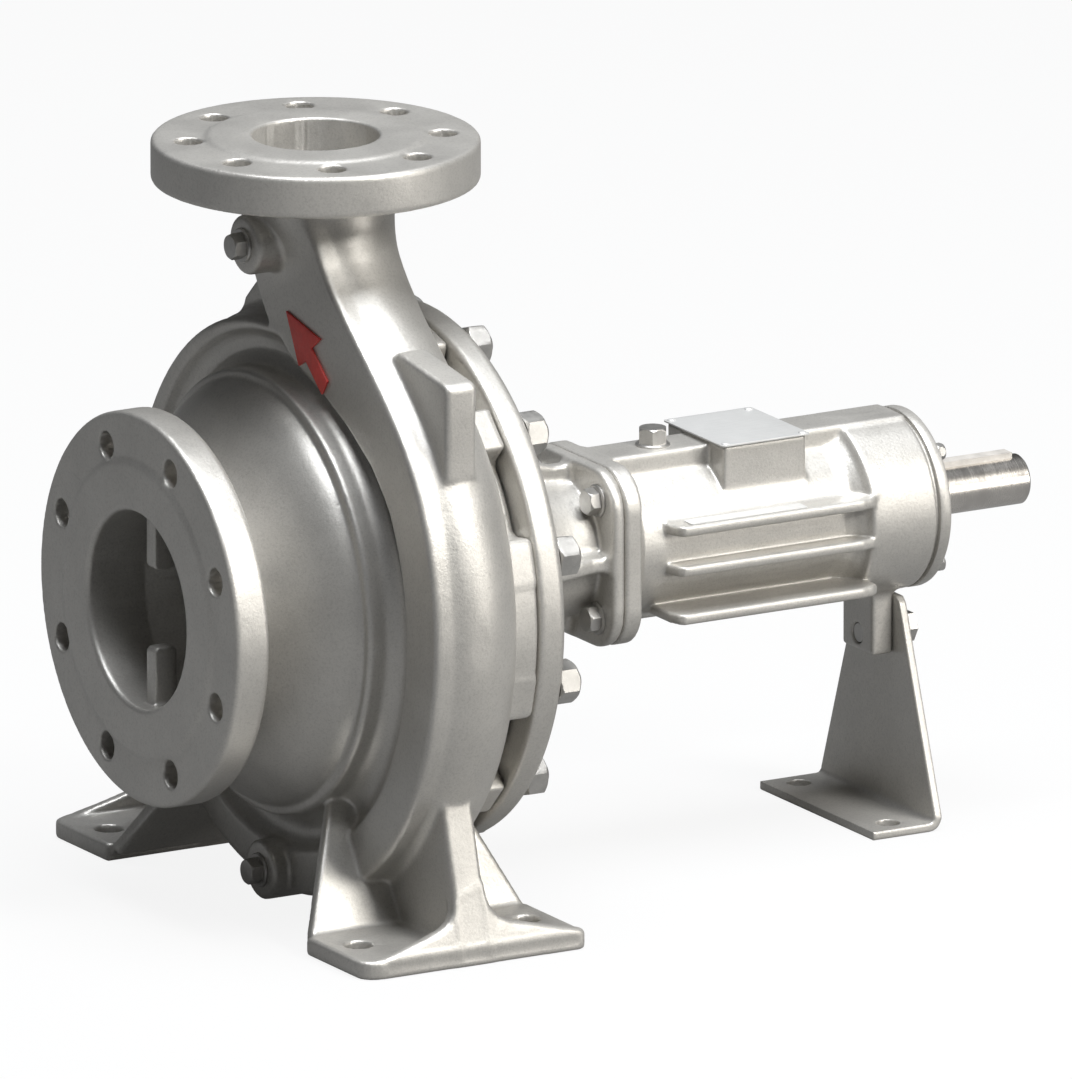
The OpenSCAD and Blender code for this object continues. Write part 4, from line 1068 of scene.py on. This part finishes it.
def round_pattern():
    """Sets its mesh n times round the shaft axis, each turned to face outwards."""
    g, given = group_tree("round_pattern", [
        ("Count", "NodeSocketInt"), ("Radius", "NodeSocketFloat"), ("First", "NodeSocketFloat"),
        ("Along", "NodeSocketFloat"), ("Height", "NodeSocketFloat"), ("Finish", "NodeSocketMaterial"),
    ])
    index = g.node("GeometryNodeInputIndex")
    angle = index * (2 * math.pi) / given["Count"] + given["First"]
    spot = g.node("ShaderNodeCombineXYZ", None, {
        0: given["Along"], 1: angle.sine() * given["Radius"] * -1.0,
        2: angle.cosine() * given["Radius"] + given["Height"],
    })
    turn = g.node("ShaderNodeCombineXYZ", None, {0: angle})
    points = g.node("GeometryNodePoints", None, {"Count": given["Count"], "Position": spot})
    copies = g.node("GeometryNodeInstanceOnPoints", None, {
        "Points": points, "Instance": given["Geometry"], "Rotation": turn,
    })
    return finish_tree(g, copies, given)


def grid_pattern():
    """Sets its mesh at the crossings of rows and columns on a level plane."""
    g, given = group_tree("grid_pattern", [
        ("Columns", "NodeSocketInt"), ("Rows", "NodeSocketInt"), ("Start X", "NodeSocketFloat"),
        ("Start Y", "NodeSocketFloat"), ("Pitch X", "NodeSocketFloat"), ("Pitch Y", "NodeSocketFloat"),
        ("Height", "NodeSocketFloat"), ("Finish", "NodeSocketMaterial"),
    ])
    index = g.node("GeometryNodeInputIndex")
    row = (index / given["Columns"]).whole()
    column = index.rest(given["Columns"])
    spot = g.node("ShaderNodeCombineXYZ", None, {
        0: column * given["Pitch X"] + given["Start X"], 1: row * given["Pitch Y"] + given["Start Y"],
        2: given["Height"],
    })
    points = g.node("GeometryNodePoints", None, {
        "Count": given["Columns"] * given["Rows"], "Position": spot,
    })
    copies = g.node("GeometryNodeInstanceOnPoints", None, {"Points": points, "Instance": given["Geometry"]})
    return finish_tree(g, copies, given)


def finish_tree(g, copies, given):
    """Real copies, one finish, out."""
    real = g.node("GeometryNodeRealizeInstances", None, {"Geometry": copies})
    done = g.node("GeometryNodeSetMaterial", None, {"Geometry": real, "Material": given["Finish"]})
    g.node("NodeGroupOutput", None, {"Geometry": done})
    return g.tree


def patterned(obj, tree, slot, node, **values):
    """Runs the tree on the object once, keeps its result as a plain mesh and dresses it."""
    modifier = obj.modifiers.new("pattern", "NODES")
    modifier.node_group = tree
    named = {s.name: s.identifier for s in tree.interface.items_tree if s.in_out == "INPUT"}
    for label, value in values.items():
        modifier[named[label.replace("_", " ")]] = value
    modifier[named["Finish"]] = FINISHES[slot]
    bake_modifiers(obj)
    obj.data.set_sharp_from_angle(angle=math.radians(30))
    dress(obj, slot, node)


def thread_profile(x0, x1, radius, pitch=1.6):
    """Outline of a thread's crests and roots between two places, with a pointed end."""
    outline = [(0, x0), (radius, x0)]
    x = x0 + 0.5
    while x + pitch < x1 - 1.2:
        outline += [(radius, x), (radius - 0.75, x + pitch / 2), (radius, x + pitch)]
        x += pitch
    outline += [(radius - 0.2, x1 - 1.2), (radius - 1.3, x1), (0, x1 + 0.05)]
    return outline


class PUMP_OT_fasteners(bpy.types.Operator):
    """Sets the studs, nuts, bolts, plugs and rivets"""

    bl_idname = "pump.fasteners"
    bl_label = "Fasteners and plugs"

    def execute(self, context):
        sizes = context.scene.pump_sizes
        ring, grid = round_pattern(), grid_pattern()
        flats = sizes.nut_flats / MM
        joint = dict(
            Count=sizes.stud_count, Radius=sizes.stud_circle, First=math.pi / sizes.stud_count,
            Along=JOINT_BACK * MM, Height=SHAFT_H * MM,
        )
        nut = hex_piece("cover_nuts_chamfered", flats, nut_levels(14, flats, 8.05, 13.9))
        patterned(nut, ring, "bolting", "cover_nuts", **joint)
        stud = turned_part("cover_studs_threaded", thread_profile(-42, 17.4, 7.95))
        patterned(stud, ring, "bolting", "cover_studs", **joint)

        square = dict(Count=4, First=math.radians(45), Height=SHAFT_H * MM)
        corner = math.hypot(LANTERN_BOLTS_Y, LANTERN_BOLTS_Y) * MM
        bolt = screw("lantern_bolts_flanged", 9, 15, (-1, 20, 5), (10.5, 9.6), -1)
        patterned(bolt, ring, "bolting", "lantern_bolts", Along=0.181, Radius=corner, **square)
        bolt = screw("rear_cover_bolts_hex", 5, 10, (-11.9, 0.5, 3))
        patterned(
            bolt, ring, "bolting", "rear_cover_bolts", Along=END_COVER_BACK * MM,
            Radius=END_COVER_BOLTS_R * MM, **square,
        )

        for name, (x, z) in PLUG_SEATS.items():
            plug = screw(name + "_hex", 9.8, 15, (-1, 12.9, 7.95), (11, 10.2), -1)
            plug.data.transform(Matrix.Translation((x * MM, 0, z * MM)))
            dress(plug, "bolting", name)
        plug = screw("oil_plug_hex", 11.8, 17, (-14.9, 0.5, 7.95), (11, 10.2))
        plug.data.transform(Matrix.Translation((OIL_PLUG_X * MM, 0, OIL_PLUG_SEAT * MM)) @ UPRIGHT)
        dress(plug, "bolting", "oil_plug")

        rivet = turned_part("name_plate_rivets_domed", [
            (0, -1.0), (1.6, -1.0), (1.6, 0), (2.6, 0), (2.5, 0.35), (2.1, 0.7), (1.3, 0.93), (0, 1.0),
        ], 24)
        rivet.data.transform(UPRIGHT)
        x0, y0, x1, y1 = NAME_PLATE
        patterned(
            rivet, grid, "plate", "name_plate_rivets", Columns=2, Rows=2,
            Start_X=(x0 + RIVET_INSET) * MM, Start_Y=(y0 + RIVET_INSET) * MM,
            Pitch_X=(x1 - x0 - 2 * RIVET_INSET) * MM, Pitch_Y=(y1 - y0 - 2 * RIVET_INSET) * MM,
            Height=NAME_PLATE_TOP * MM,
        )

        nut = hex_piece("support_nut_hex", 18, nut_levels(10, 18, 6.05, 9.9))
        nut.data.transform(Matrix.Translation((SUPPORT_BACK * MM, 0, SUPPORT_BOLT_Z * MM)))
        dress(nut, "bolting", "support_nut")
        return {"FINISHED"}


# Plates, arrow and studio
def soft_edged(name, solid, edge, segments=3):
    """A plate or bar with its edges rounded."""
    points, quads, triangles = solid
    obj = mesh_object(name, points * MM, quads.tolist() + triangles.tolist())
    settle(obj.data)
    round_off = obj.modifiers.new("edges", "BEVEL")
    round_off.width, round_off.segments, round_off.limit_method = edge * MM, segments, "ANGLE"
    round_off.angle_limit = math.radians(25)
    bake_modifiers(obj)
    obj.data.shade_smooth()
    obj.data.set_sharp_from_angle(angle=math.radians(40))
    return obj


class PUMP_OT_plates(bpy.types.Operator):
    """Lays the bare name plate, the small fin plate and the flow arrow"""

    bl_idname = "pump.plates"
    bl_label = "Plates and arrow"

    def execute(self, context):
        plate = prism(rounded_outline(*NAME_PLATE, 2.5), 260.02, NAME_PLATE_TOP, "xy")
        dress(soft_edged("name_plate_bare", plate, 0.25, 2), "plate", "name_plate")
        small = prism(rounded_outline(*FIN_PLATE, 1.2), 219.02, 219.8, "xy")
        dress(soft_edged("fin_plate_bare", small, 0.2, 2), "plate", "fin_plate")
        arrow = prism([
            (-17, 384), (-60, 375), (-49, 367), (-69, 350), (-62, 340), (-42, 357), (-33, 352),
        ], -31.6, -29.9, "yz")
        dress(soft_edged("flow_arrow_raised", arrow, 0.5), "arrow_red", "flow_arrow")
        return {"FINISHED"}


class PUMP_OT_studio(bpy.types.Operator):
    """Sets the pale floor, the lamps and the camera"""

    bl_idname = "pump.studio"
    bl_label = "Studio"

    def execute(self, context):
        scene, studio = context.scene, context.scene.pump_studio
        scene.view_settings.view_transform = "Standard"
        self.floor()
        self.world(scene)
        self.lamp("top_softbox", (0.1, -0.6, 4.7), (0.12, 0.0, 0.2), 3.0, 3.0, 350, (0.94, 0.965, 1.0))
        self.lamp("front_softbox", (1.5, -3.6, 3.0), (0.1, 0.0, 0.2), 1.3, 1.3, 160, (1.0, 0.98, 0.94))
        self.lamp("side_softbox", (3.1, -4.1, 0.6), (0.1, 0.0, 0.25), 1.4, 2.4, 66, (1.0, 0.965, 0.91))
        a, e = studio.azimuth, studio.elevation
        back = Vector((math.sin(a) * math.cos(e), -math.cos(a) * math.cos(e), math.sin(e)))
        camera = bpy.data.cameras.new("camera")
        camera.sensor_width, camera.lens = 36.0, 1500.0
        reach = studio.view_height * camera.lens / camera.sensor_width
        camera.clip_start, camera.clip_end = reach * 0.2, reach * 4
        rig = bpy.data.objects.new("camera", camera)
        scene.collection.objects.link(rig)
        rig.location = Vector(studio.aim) + back * reach
        rig.rotation_euler = (-back).to_track_quat("-Z", "Y").to_euler()
        scene.camera = rig
        return {"FINISHED"}

    def floor(self):
        half = 60.0
        corners = [(-half, -half, 0), (half, -half, 0), (half, half, 0), (-half, half, 0)]
        obj = mesh_object("floor", corners, [(0, 1, 2, 3)])
        f = Finish("pale_floor")
        seen = f.node("ShaderNodeLightPath", output="Is Camera Ray")
        glossy = f.node("ShaderNodeLightPath", output="Is Glossy Ray")
        lit = f.node("ShaderNodeBsdfDiffuse", None, {"Color": (0.2, 0.2, 0.2)})
        white = f.node("ShaderNodeEmission", None, {"Color": (1, 1, 1), "Strength": 1.27})
        both = f.node("ShaderNodeMixShader", None, {0: (seen * 0.7 + glossy * 0.05).held(), 1: lit, 2: white})
        f.node("ShaderNodeOutputMaterial", None, {"Surface": both})
        obj.data.materials.append(f.material)

    def world(self, scene):
        world = bpy.data.worlds.new("studio_air")
        world.use_nodes = True
        scene.world = world
        w = Tree(world.node_tree)
        w.tree.nodes.clear()
        seen = w.node("ShaderNodeLightPath", output="Is Camera Ray")
        air = w.node("ShaderNodeBackground", None, {"Color": (0.97, 0.98, 1.0), "Strength": 0.06})
        white = w.node("ShaderNodeBackground", None, {"Color": (1, 1, 1), "Strength": 1.0})
        both = w.node("ShaderNodeMixShader", None, {0: seen, 1: air, 2: white})
        w.node("ShaderNodeOutputWorld", None, {"Surface": both})

    def lamp(self, name, place, aim, wide, high, power, colour):
        lamp = bpy.data.lights.new(name, "AREA")
        lamp.shape, lamp.size, lamp.size_y, lamp.energy = "RECTANGLE", wide, high, power
        lamp.color = colour
        obj = bpy.data.objects.new(name, lamp)
        bpy.context.scene.collection.objects.link(obj)
        obj.location = place
        obj.rotation_euler = (Vector(aim) - Vector(place)).to_track_quat("-Z", "Y").to_euler()


STEPS = (
    PUMP_OT_finishes, PUMP_OT_volute, PUMP_OT_lantern, PUMP_OT_housing, PUMP_OT_support,
    PUMP_OT_fasteners, PUMP_OT_plates, PUMP_OT_studio,
)


class PUMP_PT_panel(bpy.types.Panel):
    """Lists the steps that dress the pump"""

    bl_idname = "PUMP_PT_panel"
    bl_label = "Thermic fluid pump"
    bl_space_type = "VIEW_3D"
    bl_region_type = "UI"
    bl_category = "Pump"

    def draw(self, context):
        for group in ("pump_sizes", "pump_colours", "pump_studio"):
            settings = getattr(context.scene, group)
            for name in settings.bl_rna.properties.keys():
                if name not in ("name", "rna_type"):
                    self.layout.prop(settings, name)
        for step in STEPS:
            self.layout.operator(step.bl_idname)


CLASSES = (PumpSizes, PumpColours, PumpStudio) + STEPS + (PUMP_PT_panel,)


def register():
    for cls in CLASSES:
        bpy.utils.register_class(cls)
    bpy.types.Scene.pump_sizes = PointerProperty(type=PumpSizes)
    bpy.types.Scene.pump_colours = PointerProperty(type=PumpColours)
    bpy.types.Scene.pump_studio = PointerProperty(type=PumpStudio)


def unregister():
    del bpy.types.Scene.pump_studio
    del bpy.types.Scene.pump_colours
    del bpy.types.Scene.pump_sizes
    for cls in reversed(CLASSES):
        bpy.utils.unregister_class(cls)


def main():
    register()
    bpy.ops.pump.finishes()
    bpy.ops.pump.volute()
    bpy.ops.pump.lantern()
    bpy.ops.pump.housing()
    bpy.ops.pump.support()
    bpy.ops.pump.fasteners()
    bpy.ops.pump.plates()
    bpy.ops.pump.studio()


if __name__ == "__main__":
    main()
